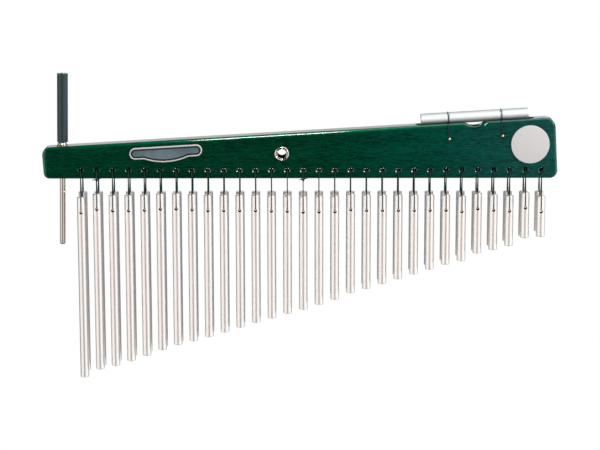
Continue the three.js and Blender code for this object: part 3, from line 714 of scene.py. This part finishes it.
def scoop_cutter():
    """A round cutter whose floor falls to the rear, and which rolls out at both faces of the bar.

    On the rolls, radius = scoop + round * (1 - cos) and distance = face - round * (1 - sin).
    """
    axis = np.array([0, math.cos(SCOOP_FALL), -math.sin(SCOOP_FALL)])
    middle = np.array([0, 0, SCOOP_RADIUS / math.cos(SCOOP_FALL) - SCOOP_DEPTH])
    shift = SCOOP_RADIUS * math.sin(SCOOP_FALL)
    roll = np.linspace(0, np.pi / 2, CORNER_STEPS)[:-1]
    radius = np.append(SCOOP_RADIUS + SCOOP_ROUND * (1 - np.cos(roll)), SCOOP_RADIUS + 2 * CUT_OVERRUN)
    inward = np.append(SCOOP_ROUND * (1 - np.sin(roll)), -CUT_OVERRUN)
    front = (shift - HALF_THICKNESS) / math.cos(SCOOP_FALL) + inward
    rear = (shift + HALF_THICKNESS) / math.cos(SCOOP_FALL) - inward
    section = np.column_stack([np.append(radius[::-1], radius), np.append(front[::-1], rear)])
    return skin("cutter", on_top_edge(turned(section, 2 * ROUND_SIDES, middle, axis), TONE_X))


def straight_cutter(radius, reach, sides, origin, axis):
    """A round cutter that reaches as far to each side of its origin."""
    return skin("cutter", turned([[radius, -reach], [radius, reach]], sides, origin, axis))


def pocket_cutter():
    """The pocket below the tone bar: a long slot with round ends, in the frame of the top edge."""
    end = POCKET_HALF_LENGTH - POCKET_HALF_WIDTH
    angle = np.linspace(-np.pi / 2, np.pi / 2, HOLE_SIDES)
    arc = POCKET_HALF_WIDTH * np.column_stack([np.cos(angle), np.sin(angle)])
    outline = np.vstack([arc + [end, 0], -arc - [end, 0]])
    heights = np.array([-POCKET_DEPTH, CUT_OVERRUN])
    grid = np.stack([
        np.broadcast_to(outline[:, 0], (2, len(outline))),
        np.broadcast_to(outline[:, 1], (2, len(outline))),
        np.broadcast_to(heights[:, None], (2, len(outline))),
    ], axis=-1)
    return skin("cutter", on_top_edge(grid, TONE_X))


def hole_places():
    """Middle of each string hole, above the pivot of its front rod."""
    return [
        np.array([joint["pos_m"][0], 0, joint["pos_m"][2] + HOLE_DROP])
        for joint in frame["joints"] if joint["child"].startswith("chime_front")
    ]


def face_centres(mesh):
    """Middle of each face of a mesh."""
    centres = np.empty(3 * len(mesh.polygons), np.float32)
    mesh.polygons.foreach_get("center", centres)
    return centres.reshape(-1, 3)


def inside_string_holes(centres):
    """Which faces of the bar line the straight part of a string hole."""
    places = np.array(hole_places())
    along, across, height = np.abs(centres - places.mean(axis=0)).T
    row_end = np.ptp(places[:, 0]) / 2 + HOLE_RADIUS
    return (along < row_end) & (across < HALF_THICKNESS - MOUTH_DEPTH) & (height < HOLE_RADIUS)


def on_scoop_floor(centres):
    """Which faces of the bar are the floor of the scoop, at its radius from its tilted axis."""
    along, across, above = TOP_AXES @ (centres - [TONE_X, 0, top_z(TONE_X)]).T
    lift = (above + SCOOP_DEPTH) * math.cos(SCOOP_FALL) + across * math.sin(SCOOP_FALL) - SCOOP_RADIUS
    off_floor = np.abs(np.hypot(along, lift) - SCOOP_RADIUS)
    return (off_floor < SCOOP_MARGIN) & (np.abs(across) < HALF_THICKNESS - SCOOP_ROUND / 2)


def make_bar():
    """The bar, drilled for strings, ferrule and beater, with the tone bar's pocket and scoop."""
    across = (0, 1, 0)
    reach = HALF_THICKNESS + CUT_OVERRUN
    holes = [
        skin("cutter", turned(string_hole_section(), HOLE_SIDES, place, across)) for place in hole_places()
    ]
    ferrule_hole = straight_cutter(FERRULE_TUBE, reach, ROUND_SIDES, (0, 0, 0), across)
    beater_hole = straight_cutter(BEATER_HOLE, BASS_HEIGHT, ROUND_SIDES, (BEATER_X, 0, 0), (0, 0, 1))
    bar = cut(bar_blank(), joined("cutters", [*holes, ferrule_hole, beater_hole, pocket_cutter()]))
    bar = cut(bar, scoop_cutter())
    add_piece("wooden_bar_looks", bar, wood, "bar", "stained_wood", "wooden_bar")
    bar.materials.append(bare_wood_and_shade)
    centres = face_centres(bar)
    # Near-black bare wood in the string holes and on the scoop's floor, partly painted shade
    bare = inside_string_holes(centres) | on_scoop_floor(centres)
    bar.polygons.foreach_set("material_index", bare.astype(np.int32))


# Stand ferrule and beater

def make_stand_ferrule():
    """A tube with a rolled lip on each face: a broad outer roll, a groove and a fine inner lip.

    The rear half of its section is given by radius, distance from the middle of the bar, and the
    round of each corner in mm. Deeper in, the bore and the floor of the groove are black and dead matt.
    """
    groove_floor = FERRULE_FACE - FERRULE_GROOVE
    inner_lip = FERRULE_BORE + FERRULE_INNER_LIP
    inner_face = FERRULE_FACE - FERRULE_INNER_SINK
    rear = [
        (FERRULE_TUBE, FERRULE_SEAT, 0.05),
        (FERRULE_LIP, FERRULE_SEAT, 0.15),
        (FERRULE_LIP, FERRULE_FACE, 0.78),
        (FERRULE_TUBE + FERRULE_GROOVE_DRAFT, FERRULE_FACE, 0.75),
        (FERRULE_TUBE - FERRULE_GROOVE_DRAFT, groove_floor, 0.1),
        (inner_lip + FERRULE_GROOVE_DRAFT, groove_floor, 0.1),
        (inner_lip, inner_face, 0.32),
        (FERRULE_BORE, inner_face, 0.35),
    ]
    corners = rear + [(radius, -depth, round_mm) for radius, depth, round_mm in rear[::-1]]
    radius, depth, round_mm = np.array(corners).T
    section = rounded(np.column_stack([radius, depth]), round_mm * MM, BEND_STEPS)
    grid = turned(section, ROUND_SIDES, axis=(0, 1, 0))
    mesh = skin("stand_ferrule_looks", grid, closed_rows=True)
    add_piece("stand_ferrule_looks", mesh, plated_chrome, "bar", "chrome", "stand_ferrule")
    mesh.materials.append(black_matt_steel)
    along, across, height = face_centres(mesh).T
    # Faces deeper in than the chrome: black and dead matt
    bare = np.hypot(along, height) < FERRULE_TUBE + FERRULE_GROOVE_DRAFT
    bare &= np.abs(across) < FERRULE_FACE - FERRULE_CHROME_DEPTH
    mesh.polygons.foreach_set("material_index", bare.astype(np.int32))


def make_beater():
    """The steel rod with its domed end, and the sleeve on it, both turned about the leaning axis.

    The rod's lower end is rounded: radius = rod - round * (1 - sin), height = round * (1 - cos). Its
    upper end is half an ellipse.
    """
    axis = np.array([math.sin(BEATER_LEAN), 0, math.cos(BEATER_LEAN)])
    middle = np.array([BEATER_X, 0, (top_z(BEATER_X) + BOTTOM_Z) / 2])
    grip_top = GRIP_BOTTOM + GRIP_LENGTH
    high = grip_top + BEATER_DOME
    low = high - BEATER_LENGTH
    tip = np.linspace(0, np.pi / 2, BEND_STEPS)
    dome = np.linspace(0, np.pi / 2, CORNER_STEPS)
    radius = np.concatenate([
        [0], BEATER_RADIUS - BEATER_TIP_ROUND * (1 - np.sin(tip)), BEATER_RADIUS * np.cos(dome)])
    height = np.concatenate([
        [low], low + BEATER_TIP_ROUND * (1 - np.cos(tip)), high - BEATER_DOME * (1 - np.sin(dome))])
    rod = turned(np.column_stack([radius, height]), ROD_SIDES, middle, axis)
    add_piece("beater_rod_looks", skin("beater_rod_looks", rod, caps=False), beater_steel,
              "beater", "polished_steel", "beater_rod")
    section = rounded([
        (BEATER_RADIUS, GRIP_BOTTOM),
        (GRIP_RADIUS, GRIP_BOTTOM),
        (GRIP_RADIUS, grip_top),
        (BEATER_RADIUS, grip_top),
    ], np.array([GRIP_INNER_EDGE, GRIP_EDGE, GRIP_EDGE, GRIP_INNER_EDGE]), BEND_STEPS)
    grip = turned(section, ROD_SIDES, middle, axis)
    add_piece("beater_grip_looks", skin("beater_grip_looks", grip, closed_rows=True), grip_sleeve,
              "beater", "rubber", "beater_grip")


def make_beater_ferrule():
    """A trumpet-shaped ferrule round the beater's hole: a flat flange that sweeps up to a neck."""
    section = rounded([
        (BEATER_HOLE, 0),
        (BEATER_FERRULE_BASE, 0),
        (BEATER_FERRULE_BASE, BEATER_FLANGE),
        (BEATER_FERRULE_TOP + BEATER_NECK_FLARE, BEATER_NECK_RISE),
        (BEATER_FERRULE_TOP, BEATER_FERRULE_HEIGHT),
        (BEATER_HOLE, BEATER_FERRULE_HEIGHT),
    ], np.array([0.05, 0.1, 0.3, 0.8, 0.4, 0.4]) * MM, BEND_STEPS)
    grid = on_top_edge(turned(section, ROUND_SIDES), BEATER_X)
    add_piece("beater_ferrule_looks", skin("beater_ferrule_looks", grid, closed_rows=True),
              warm_nickel, "bar", "chrome", "beater_ferrule")


# Tone bar with its cords and pins

def make_tone_bar():
    """A bar turned about its length: chamfered ends, and a shallow groove below each cord."""
    groove_floor = TONE_RADIUS - TONE_GROOVE_DEPTH
    groove_start = TONE_CORD_REACH - TONE_GROOVE_HALF_WIDTH
    groove_end = TONE_CORD_REACH + TONE_GROOVE_HALF_WIDTH
    half = [
        (TONE_RADIUS, 0),
        (TONE_RADIUS, groove_start - TONE_GROOVE_EASE),
        (groove_floor, groove_start),
        (groove_floor, groove_end),
        (TONE_RADIUS, groove_end + TONE_GROOVE_EASE),
        (TONE_RADIUS, TONE_HALF_LENGTH - TONE_CHAMFER),
        (TONE_RADIUS - TONE_CHAMFER, TONE_HALF_LENGTH),
        (0, TONE_HALF_LENGTH),
    ]
    section = [(radius, -along) for radius, along in half[::-1]] + half[1:]
    grid = turned(section, ROUND_SIDES, (0, 0, TONE_AXIS_RISE), (1, 0, 0))
    add_piece("tone_bar_looks", skin("tone_bar_looks", on_top_edge(grid, TONE_X), caps=False),
              tone_aluminium, "bar", "satin_aluminium", "tone_bar")


def tone_cord_route(end):
    """One cord of the tone bar, in the frame of the top edge.

    It rises from the front pin over the edge of the bar, goes once round the tone bar in a helix
    (across = r sin, above = axis - r cos, along = climb * share) and down to the rear pin.
    """
    along = end * TONE_CORD_REACH
    sweep = 2 * math.pi + 2 * LEAVE_ANGLE
    climb = TONE_CORD_CLIMB * sweep / (2 * math.pi)
    turn_radius = TONE_RADIUS - TONE_GROOVE_DEPTH + CORD_RADIUS
    face = HALF_THICKNESS + CORD_RADIUS
    on_roll = (EDGE_ROUND + CORD_RADIUS) * math.sqrt(0.5)
    tail = np.array([
        [face, PIN_SHANK - PIN_DROP],
        [face, -EDGE_ROUND],
        [HALF_THICKNESS - EDGE_ROUND + on_roll, on_roll - EDGE_ROUND],
        [POCKET_HALF_WIDTH, CORD_RADIUS],
    ])
    shift = np.array([0, 1, 1, 1]) * climb / 2
    front = np.column_stack([along - shift, -tail[:, 0], tail[:, 1]])
    rear = np.column_stack([along + shift, tail[:, 0], tail[:, 1]])[::-1]
    share = np.linspace(0, 1, 8 * CORNER_STEPS)
    angle = sweep * share - LEAVE_ANGLE
    turn = np.column_stack([
        along + climb * (share - 0.5),
        turn_radius * np.sin(angle),
        TONE_AXIS_RISE - turn_radius * np.cos(angle),
    ])
    front = bent_route(np.vstack([front, turn[:1]]), TONE_CORD_BEND)
    rear = bent_route(np.vstack([turn[-1:], rear]), TONE_CORD_BEND)
    return np.vstack([front[:-1], turn, rear[1:]])


def pin_eye(end, side):
    """The loop of cord round a pin's shank: a ring in the plane of the bar's face."""
    angle = np.linspace(0, 2 * np.pi, 2 * CORNER_STEPS)
    ring = PIN_SHANK + CORD_RADIUS
    lift = side * (HALF_THICKNESS + CORD_RADIUS)
    return np.column_stack([
        end * TONE_CORD_REACH + ring * np.cos(angle),
        np.full_like(angle, lift),
        ring * np.sin(angle) - PIN_DROP,
    ])


def make_tone_cords():
    """Each tone bar cord with an eye round each of its pins, and the domed pins themselves.

    A pin's head is half an ellipse: radius = head * cos, distance = base + height * sin.
    """
    dome = np.linspace(0, np.pi / 2, CORNER_STEPS)
    foot = HALF_THICKNESS - PIN_DEPTH
    pin = np.column_stack([
        np.concatenate([[0, PIN_SHANK, PIN_SHANK], PIN_HEAD * np.cos(dome)]),
        np.concatenate([[foot, foot, PIN_HEAD_BASE], PIN_HEAD_BASE + PIN_HEAD_HEIGHT * np.sin(dome)]),
    ])
    for end, end_name in ((-1, "bass"), (1, "treble")):
        run = tube(on_top_edge(tone_cord_route(end), TONE_X), CORD_RADIUS, (1, 0, 0))
        eyes = [tube(on_top_edge(pin_eye(end, side), TONE_X), CORD_RADIUS, (0, 1, 0)) for side in (-1, 1)]
        name = f"tone_cord_{end_name}"
        mesh = joined(name, [skin(name, grid) for grid in (run, *eyes)])
        add_piece(f"{name}_looks", mesh, cord_braid, "bar", "cord", name)
        for side, side_name in ((-1, "front"), (1, "rear")):
            origin = (end * TONE_CORD_REACH, 0, -PIN_DROP)
            grid = on_top_edge(turned(pin, HOLE_SIDES, origin, (0, side, 0)), TONE_X)
            name = f"cord_pin_{side_name}_{end_name}"
            add_piece(f"{name}_looks", skin(name, grid, caps=False), pin_brass, "bar", "brass", name)


# Name plate and badge

def arc(middle, radius, first, last):
    """Points on a circle from one angle to another."""
    angle = np.linspace(first, last, 2 * CORNER_STEPS)[:, None]
    return np.asarray(middle) + radius * np.hstack([np.cos(angle), np.sin(angle)])


def plate_outline(inset):
    """The plate's outline drawn in by an inset.

    Round ends, a straight upper edge, and a lower edge that swells into a shallow arc through a
    hollow fillet at each side. The fillet touches the straight edge, and the arc from outside.
    """
    belly_z = PLATE_BELLY_RADIUS - PLATE_BELLY - PLATE_END
    fillet_z = -PLATE_END - PLATE_FILLET
    apart = PLATE_BELLY_RADIUS + PLATE_FILLET
    fillet_x = math.sqrt(apart ** 2 - (belly_z - fillet_z) ** 2)
    lean = math.asin(fillet_x / apart)
    down, up = -math.pi / 2, math.pi / 2
    hollow = PLATE_FILLET + inset
    return np.vstack([
        arc((0, belly_z), PLATE_BELLY_RADIUS - inset, down - lean, down + lean),
        arc((fillet_x, fillet_z), hollow, up + lean, up)[1:],
        arc((PLATE_HALF_SPAN, 0), PLATE_END - inset, down, up),
        arc((-PLATE_HALF_SPAN, 0), PLATE_END - inset, up, up + math.pi),
        arc((-fillet_x, fillet_z), hollow, up, up - lean)[:-1],
    ])


def plate_skin(name, profile, closed_rows=False):
    """A plate, or a closed band, whose rows are the outline at each inset and height of a profile."""
    rows = [
        np.insert(plate_outline(inset), 1, -HALF_THICKNESS - height, axis=1) for inset, height in profile
    ]
    return skin(name, on_top_edge(np.stack(rows), PLATE_X, -PLATE_DROP), closed_rows)


def make_name_plate():
    """A cast tray with a rolled rim, black in its groove, and a bare painted inlay.

    The rim is half a circle: inset = half rim * (1 + cos), height = shoulder + half rim * sin. Black
    paint coats its inner side, fills the groove and laps over the edge of the inlay: painted shade.
    """
    bead = np.linspace(np.pi, 0, 2 * BEND_STEPS)
    shoulder = PLATE_HEIGHT - PLATE_RIM / 2
    rim = np.column_stack([
        PLATE_RIM / 2 * (1 + np.cos(bead)),
        shoulder + PLATE_RIM / 2 * np.sin(bead),
    ])
    tray = np.vstack([[0, 0], rim, [PLATE_RIM, PLATE_FLOOR]])
    add_piece("name_plate_looks", plate_skin("name_plate_looks", tray), rim_silver,
              "bar", "chrome", "name_plate")
    # Painted shade: a black band up the rim's inner side, across the groove's floor and onto the inlay's
    # edge
    border = INLAY_INSET + SHADE_BORDER
    ground = np.vstack([
        rim[-BEND_STEPS // 2:] + SHADE_COAT,
        [PLATE_RIM + SHADE_COAT, PLATE_FLOOR + SHADE_COAT],
        [INLAY_INSET - SHADE_COAT, PLATE_FLOOR + SHADE_COAT],
        [INLAY_INSET - SHADE_COAT, INLAY_TOP + SHADE_COAT],
        [border, INLAY_TOP + SHADE_COAT],
        [border, PLATE_FLOOR / 2],
        [PLATE_RIM / 2, PLATE_FLOOR / 2],
    ])
    add_piece("name_plate_groove_shade", plate_skin("name_plate_groove_shade", ground, closed_rows=True),
              groove_shade_paint, "bar", "slate_paint")
    inlay = [
        (INLAY_INSET, PLATE_FLOOR),
        (INLAY_INSET, INLAY_TOP - INLAY_EDGE),
        (INLAY_INSET + INLAY_EDGE, INLAY_TOP),
    ]
    add_piece("name_plate_inlay_looks", plate_skin("name_plate_inlay_looks", inlay), inlay_paint,
              "bar", "slate_paint", "name_plate_inlay")


def make_badge():
    """A bare disc: a rounded edge, and a crown that falls off as the square of the radius."""
    flat = BADGE_RADIUS - BADGE_EDGE
    share = np.linspace(0, 1, CORNER_STEPS)
    roll = np.linspace(0, np.pi / 2, BEND_STEPS)
    face = HALF_THICKNESS + BADGE_RIM
    radius = np.concatenate([flat * share, flat + BADGE_EDGE * np.sin(roll), [BADGE_RADIUS, 0]])
    height = np.concatenate([
        face + BADGE_CROWN * (1 - share ** 2),
        face - BADGE_EDGE * (1 - np.cos(roll)),
        [HALF_THICKNESS, HALF_THICKNESS],
    ])
    grid = turned(np.column_stack([radius, height]), 2 * ROUND_SIDES, (BADGE_X, 0, BADGE_Z), (0, -1, 0))
    add_piece("badge_looks", skin("badge_looks", grid, caps=False), badge_silver,
              "bar", "silver_paint", "badge")


# Rods and cords

def rod_pattern():
    """A rod of the pattern's length with its top at the origin, chamfered and cross drilled."""
    reach = ROD_RADIUS + CUT_OVERRUN
    inner = ROD_RADIUS - ROD_CHAMFER
    section = [
        (inner, 0), (ROD_RADIUS, -ROD_CHAMFER),
        (ROD_RADIUS, ROD_CHAMFER - PATTERN_LENGTH), (inner, -PATTERN_LENGTH),
    ]
    flare = CROSS_HOLE_RADIUS + CROSS_HOLE_SINK + CUT_OVERRUN
    start = ROD_RADIUS - CROSS_HOLE_SINK
    hole = [
        (flare, -reach), (CROSS_HOLE_RADIUS, -start), (CROSS_HOLE_RADIUS, start), (flare, reach),
    ]
    rod = skin("rod_pattern", turned(section, ROD_SIDES))
    drill = skin("cutter", turned(hole, HOLE_SIDES, (0, 0, -CROSS_HOLE_DROP), (0, 1, 0)))
    rod = cut(rod, drill)
    along, across, height = face_centres(rod).T
    # Faces inside the cross hole, dark as painted shade
    drilled = np.hypot(along, height + CROSS_HOLE_DROP) < CROSS_HOLE_RADIUS + CROSS_HOLE_SINK / 2
    drilled &= np.abs(across) < start
    rod.polygons.foreach_set("material_index", drilled.astype(np.int32))
    return rod


def rod_mesh(pattern, name, length, top):
    """A copy of the pattern at its place, with its lower end moved down to its length."""
    mesh = pattern.copy()
    mesh.name = name
    points = np.empty(3 * len(mesh.vertices), np.float32)
    mesh.vertices.foreach_get("co", points)
    points = points.reshape(-1, 3)
    points[:, 2] -= np.where(points[:, 2] < -PATTERN_LENGTH / 2, length - PATTERN_LENGTH, 0)
    mesh.vertices.foreach_set("co", (points + np.asarray(top)).astype(np.float32).ravel())
    mesh.update()
    return mesh


def loop_route(pivot, side, drop):
    """The loop of one rod, from its string hole down, through the cross hole and up again.

    Its points are outward and height from the pivot, joined by round bends. Drop is from the pivot
    to the top of the rod.
    """
    beside = ROD_RADIUS + LOOP_GAP
    cross = -drop - CROSS_HOLE_DROP + CROSS_HOLE_RADIUS - CORD_RADIUS + CORD_BITE
    outward, height = np.array([
        (-CORD_TUCK, STRAND_PITCH),
        (STRAND_PITCH, STRAND_PITCH),
        (beside, -drop),
        (beside, cross),
        (-beside, cross),
        (-beside, -drop),
        (0, BOTTOM_Z - pivot[2] - LOOP_EDGE_GAP),
        (0, 0),
        (-CORD_TUCK, 0),
    ]).T
    points = np.column_stack([np.zeros_like(outward), side * outward, height]) + pivot
    return bent_route(points, LOOP_BENDS)


def knot_meshes(place):
    """An overhand knot and the two cut ends that stick out of it.

    The knot is a trefoil: sin a + 2 sin 2a along, sin 3a across, and cos a - 2 cos 2a up.
    """
    angle = np.linspace(0, 2 * np.pi, 6 * CORNER_STEPS)
    knot = KNOT_SIZE * np.column_stack([
        np.sin(angle) + 2 * np.sin(2 * angle),
        np.sin(3 * angle),
        np.cos(angle) - 2 * np.cos(2 * angle),
    ])
    ends = [bent_route(route, KNOT_END_BEND) for route in KNOT_ENDS]
    return [skin("knot", tube(path + place, KNOT_CORD_RADIUS, (0, 1, 0))) for path in (knot, *ends)]


def make_rods():
    """Both rows: the rods of each swinging body, their cord loops, and the run between rear holes."""
    pattern = rod_pattern()
    spacing = np.diff([place[0] for place in hole_places()]).mean()
    first_x = hole_places()[0][0]
    for joint in frame["joints"]:
        body = joint["child"]
        if joint["type"] != "hinge":
            continue
        numbers = [int(word) for word in body.split("_") if word.isdigit()]
        side = math.copysign(1, joint["pos_m"][1])
        pivots = [np.array([first_x + spacing * (n - 1), *joint["pos_m"][1:]]) for n in numbers]
        drops = [ROD_DROP + (UNEVEN_DROPS.get(n, 0) * MM if side < 0 else 0) for n in numbers]
        cords = [
            skin("loop", tube(loop_route(pivot, side, drop), CORD_RADIUS, (1, 0, 0)))
            for pivot, drop in zip(pivots, drops)
        ]
        if len(pivots) > 1:
            run = np.linspace(pivots[0], pivots[-1], BEND_STEPS)
            cords.append(skin("run", tube(run, CORD_RADIUS, (0, 0, 1))))
        if body in KNOTTED_RODS:
            x, y, _ = pivots[0]
            cords += knot_meshes(np.array([x, y - CORD_RADIUS, BOTTOM_Z - KNOT_DROP]))
        add_piece(f"{body}_cord", joined(f"{body}_cord", cords), cord_braid, body, "cord", body)
        for number, pivot, drop in zip(numbers, pivots, drops):
            name = f"{body}_rod_{number:02d}"
            length = LONGEST_ROD - ROD_STEP * (number - 1)
            mesh = rod_mesh(pattern, name, length, pivot - [0, 0, drop])
            add_piece(name, mesh, rod_aluminium, body, "satin_aluminium", body)
            mesh.materials.append(cross_hole_shade)
    bpy.data.meshes.remove(pattern)


def make_bore_cords():
    """The two strands through each string hole, which join its loops and lie side by side inside."""
    reach = HALF_THICKNESS + PIVOT_STANDOFF - CORD_TUCK
    straight = BORE_STRAND_STRAIGHT * reach
    strands = []
    for place in hole_places():
        for side, height in ((-1, -HOLE_DROP), (1, STRAND_PITCH - HOLE_DROP)):
            shift = side * BORE_STRAND_SHIFT
            points = [[0, -reach, height], [shift, -straight, 0], [shift, straight, 0], [0, reach, height]]
            path = bent_route(place + np.array(points), BORE_STRAND_BEND)
            strands.append(skin("strand", tube(path, CORD_RADIUS, (0, 0, 1))))
    add_piece("bore_cords", joined("bore_cords", strands), cord_braid, "bar", "cord")


# Stage, light and camera

def make_floor():
    """A plain pale floor well below the hanging rods, white to the eye."""
    rim = turned([(FLOOR_RADIUS, FLOOR_Z), (FLOOR_RADIUS, FLOOR_Z - FLOOR_THICKNESS)], ROUND_SIDES)
    floor = place_object("floor", skin("floor", rim))
    material, tree, _ = new_material("pale studio floor")
    light_path = add_node(tree, "ShaderNodeLightPath", {})
    pale = add_node(tree, "ShaderNodeBsdfDiffuse", {"Color": linear("#e6e6e4")})
    white = add_node(tree, "ShaderNodeEmission", {"Color": (1, 1, 1, 1), "Strength": 1.0})
    mixed = add_node(tree, "ShaderNodeMixShader", {
        0: light_path.outputs["Is Camera Ray"], 1: pale, 2: white})
    add_node(tree, "ShaderNodeOutputMaterial", {"Surface": mixed})
    floor.data.materials.append(material)


def make_world():
    """White to the eye. For light and reflections, a dark studio with white walls to the sides.

    Dark in front and overhead, so the lacquer keeps its colour, and cool grey behind, so round metal
    has dull edges, but for a white backdrop above the horizon, which the top of the bar mirrors. The
    right wall reaches further back than the left one.
    """
    world = bpy.data.worlds.new("studio")
    bpy.context.scene.world = world
    world.use_nodes = True
    tree = world.node_tree
    tree.nodes.clear()
    coords = add_node(tree, "ShaderNodeTexCoord", {})
    x, y, z = add_node(tree, "ShaderNodeSeparateXYZ", {"Vector": coords.outputs["Generated"]}).outputs
    aside = add_node(tree, "ShaderNodeMath", {0: x}, operation="ABSOLUTE")
    to_right = add_node(tree, "ShaderNodeMath", {0: x, 1: 0.0}, operation="MAXIMUM")
    to_rear = add_node(tree, "ShaderNodeMath", {
        0: to_right, 1: -RIGHT_WALL_TURN, 2: y}, operation="MULTIPLY_ADD")
    left_wall, right_wall, wall_top, wall_foot, backdrop_sides, backdrop_foot, backdrop_fade, behind = [
        add_node(tree, "ShaderNodeMapRange", {"Value": value, "From Min": start, "From Max": end})
        for value, start, end in (
            (x, -0.14, -0.32), (x, 0.05, 0.45), (z, 0.30, 0.10), (z, -0.70, -0.50),
            (aside, 0.60, 0.45), (z, 0.02, 0.08), (z, 0.90, 0.10), (to_rear, -0.10, 0.20),
        )
    ]
    walls = add_node(tree, "ShaderNodeMath", {0: left_wall, 1: right_wall}, operation="MAXIMUM")
    for level in (wall_top, wall_foot, WALL_LEVEL):
        walls = add_node(tree, "ShaderNodeMath", {0: walls, 1: level}, operation="MULTIPLY")
    backdrop = backdrop_sides
    for level in (backdrop_foot, backdrop_fade, BACKDROP_LEVEL):
        backdrop = add_node(tree, "ShaderNodeMath", {0: backdrop, 1: level}, operation="MULTIPLY")
    front = add_node(tree, "ShaderNodeMath", {0: walls, 1: FRONT_LEVEL}, operation="MAXIMUM")
    rear = add_node(tree, "ShaderNodeMix", {
        "Factor": 1.0, "A": linear(REAR_COLOUR), "B": backdrop}, data_type="RGBA", blend_type="LIGHTEN")
    room = add_node(tree, "ShaderNodeMix", {"Factor": behind, "A": front, "B": rear}, data_type="RGBA")
    camera_ray = add_node(tree, "ShaderNodeLightPath", {}).outputs["Is Camera Ray"]
    seen = add_node(tree, "ShaderNodeMix", {
        "Factor": 1.0, "A": room, "B": camera_ray}, data_type="RGBA", blend_type="LIGHTEN")
    background = add_node(tree, "ShaderNodeBackground", {"Color": seen})
    add_node(tree, "ShaderNodeOutputWorld", {"Surface": background})


def add_softbox(name, place, size, power, target=(0, 0, -0.05)):
    """A rectangular lamp at a place, turned to face a target. Its power is in watts."""
    lamp = bpy.data.lights.new(name, "AREA")
    lamp.shape = "RECTANGLE"
    lamp.size, lamp.size_y = size
    lamp.energy = power
    softbox = bpy.data.objects.new(name, lamp)
    bpy.context.scene.collection.objects.link(softbox)
    facing = unit(np.asarray(target, float) - np.asarray(place, float))
    right = unit(np.cross(facing, [0, 0, 1]))
    up = np.cross(right, facing)
    turn = np.eye(4)
    turn[:3, :3] = np.column_stack([right, up, -facing])
    turn[:3, 3] = place
    softbox.matrix_world = mathutils.Matrix(turn.tolist())


def make_lamps():
    """Softboxes to the right and left, one overhead, and a strip in front that glints along the edge."""
    add_softbox("right_softbox", (1.64, -0.73, 0.61), (0.32, 0.5), 13.0)
    add_softbox("left_softbox", (-1.64, -0.73, 0.61), (0.2, 0.25), 1.8)
    add_softbox("overhead_softbox", (0.62, -0.3, 1.05), (1.6, 1.4), 17.0)
    add_softbox("edge_strip", (-0.075, -1.40, 0.53), (0.26, 0.2), 7.5, (-0.075, 0, 0))


def make_camera():
    """The photograph's camera: above the bar, looking a little down, and turned by a hair."""
    camera = bpy.data.objects.new("camera", bpy.data.cameras.new("camera"))
    bpy.context.scene.collection.objects.link(camera)
    camera.data.lens = CAMERA_LENS
    camera.data.sensor_width = SENSOR_WIDTH
    camera.data.clip_end = CAMERA_REACH
    camera.location = CAMERA_PLACE
    level = mathutils.Euler((math.pi / 2 - CAMERA_PITCH, 0, 0)).to_matrix()
    roll = mathutils.Matrix.Rotation(CAMERA_ROLL, 3, "Z")
    camera.rotation_euler = (level @ roll).to_euler()
    bpy.context.scene.camera = camera


make_camera()
make_rods()
make_bore_cords()
make_bar()
make_stand_ferrule()
make_beater()
make_beater_ferrule()
make_tone_bar()
make_tone_cords()
make_name_plate()
make_badge()
make_floor()
make_world()
make_lamps()
bpy.context.scene.view_settings.view_transform = "Standard"
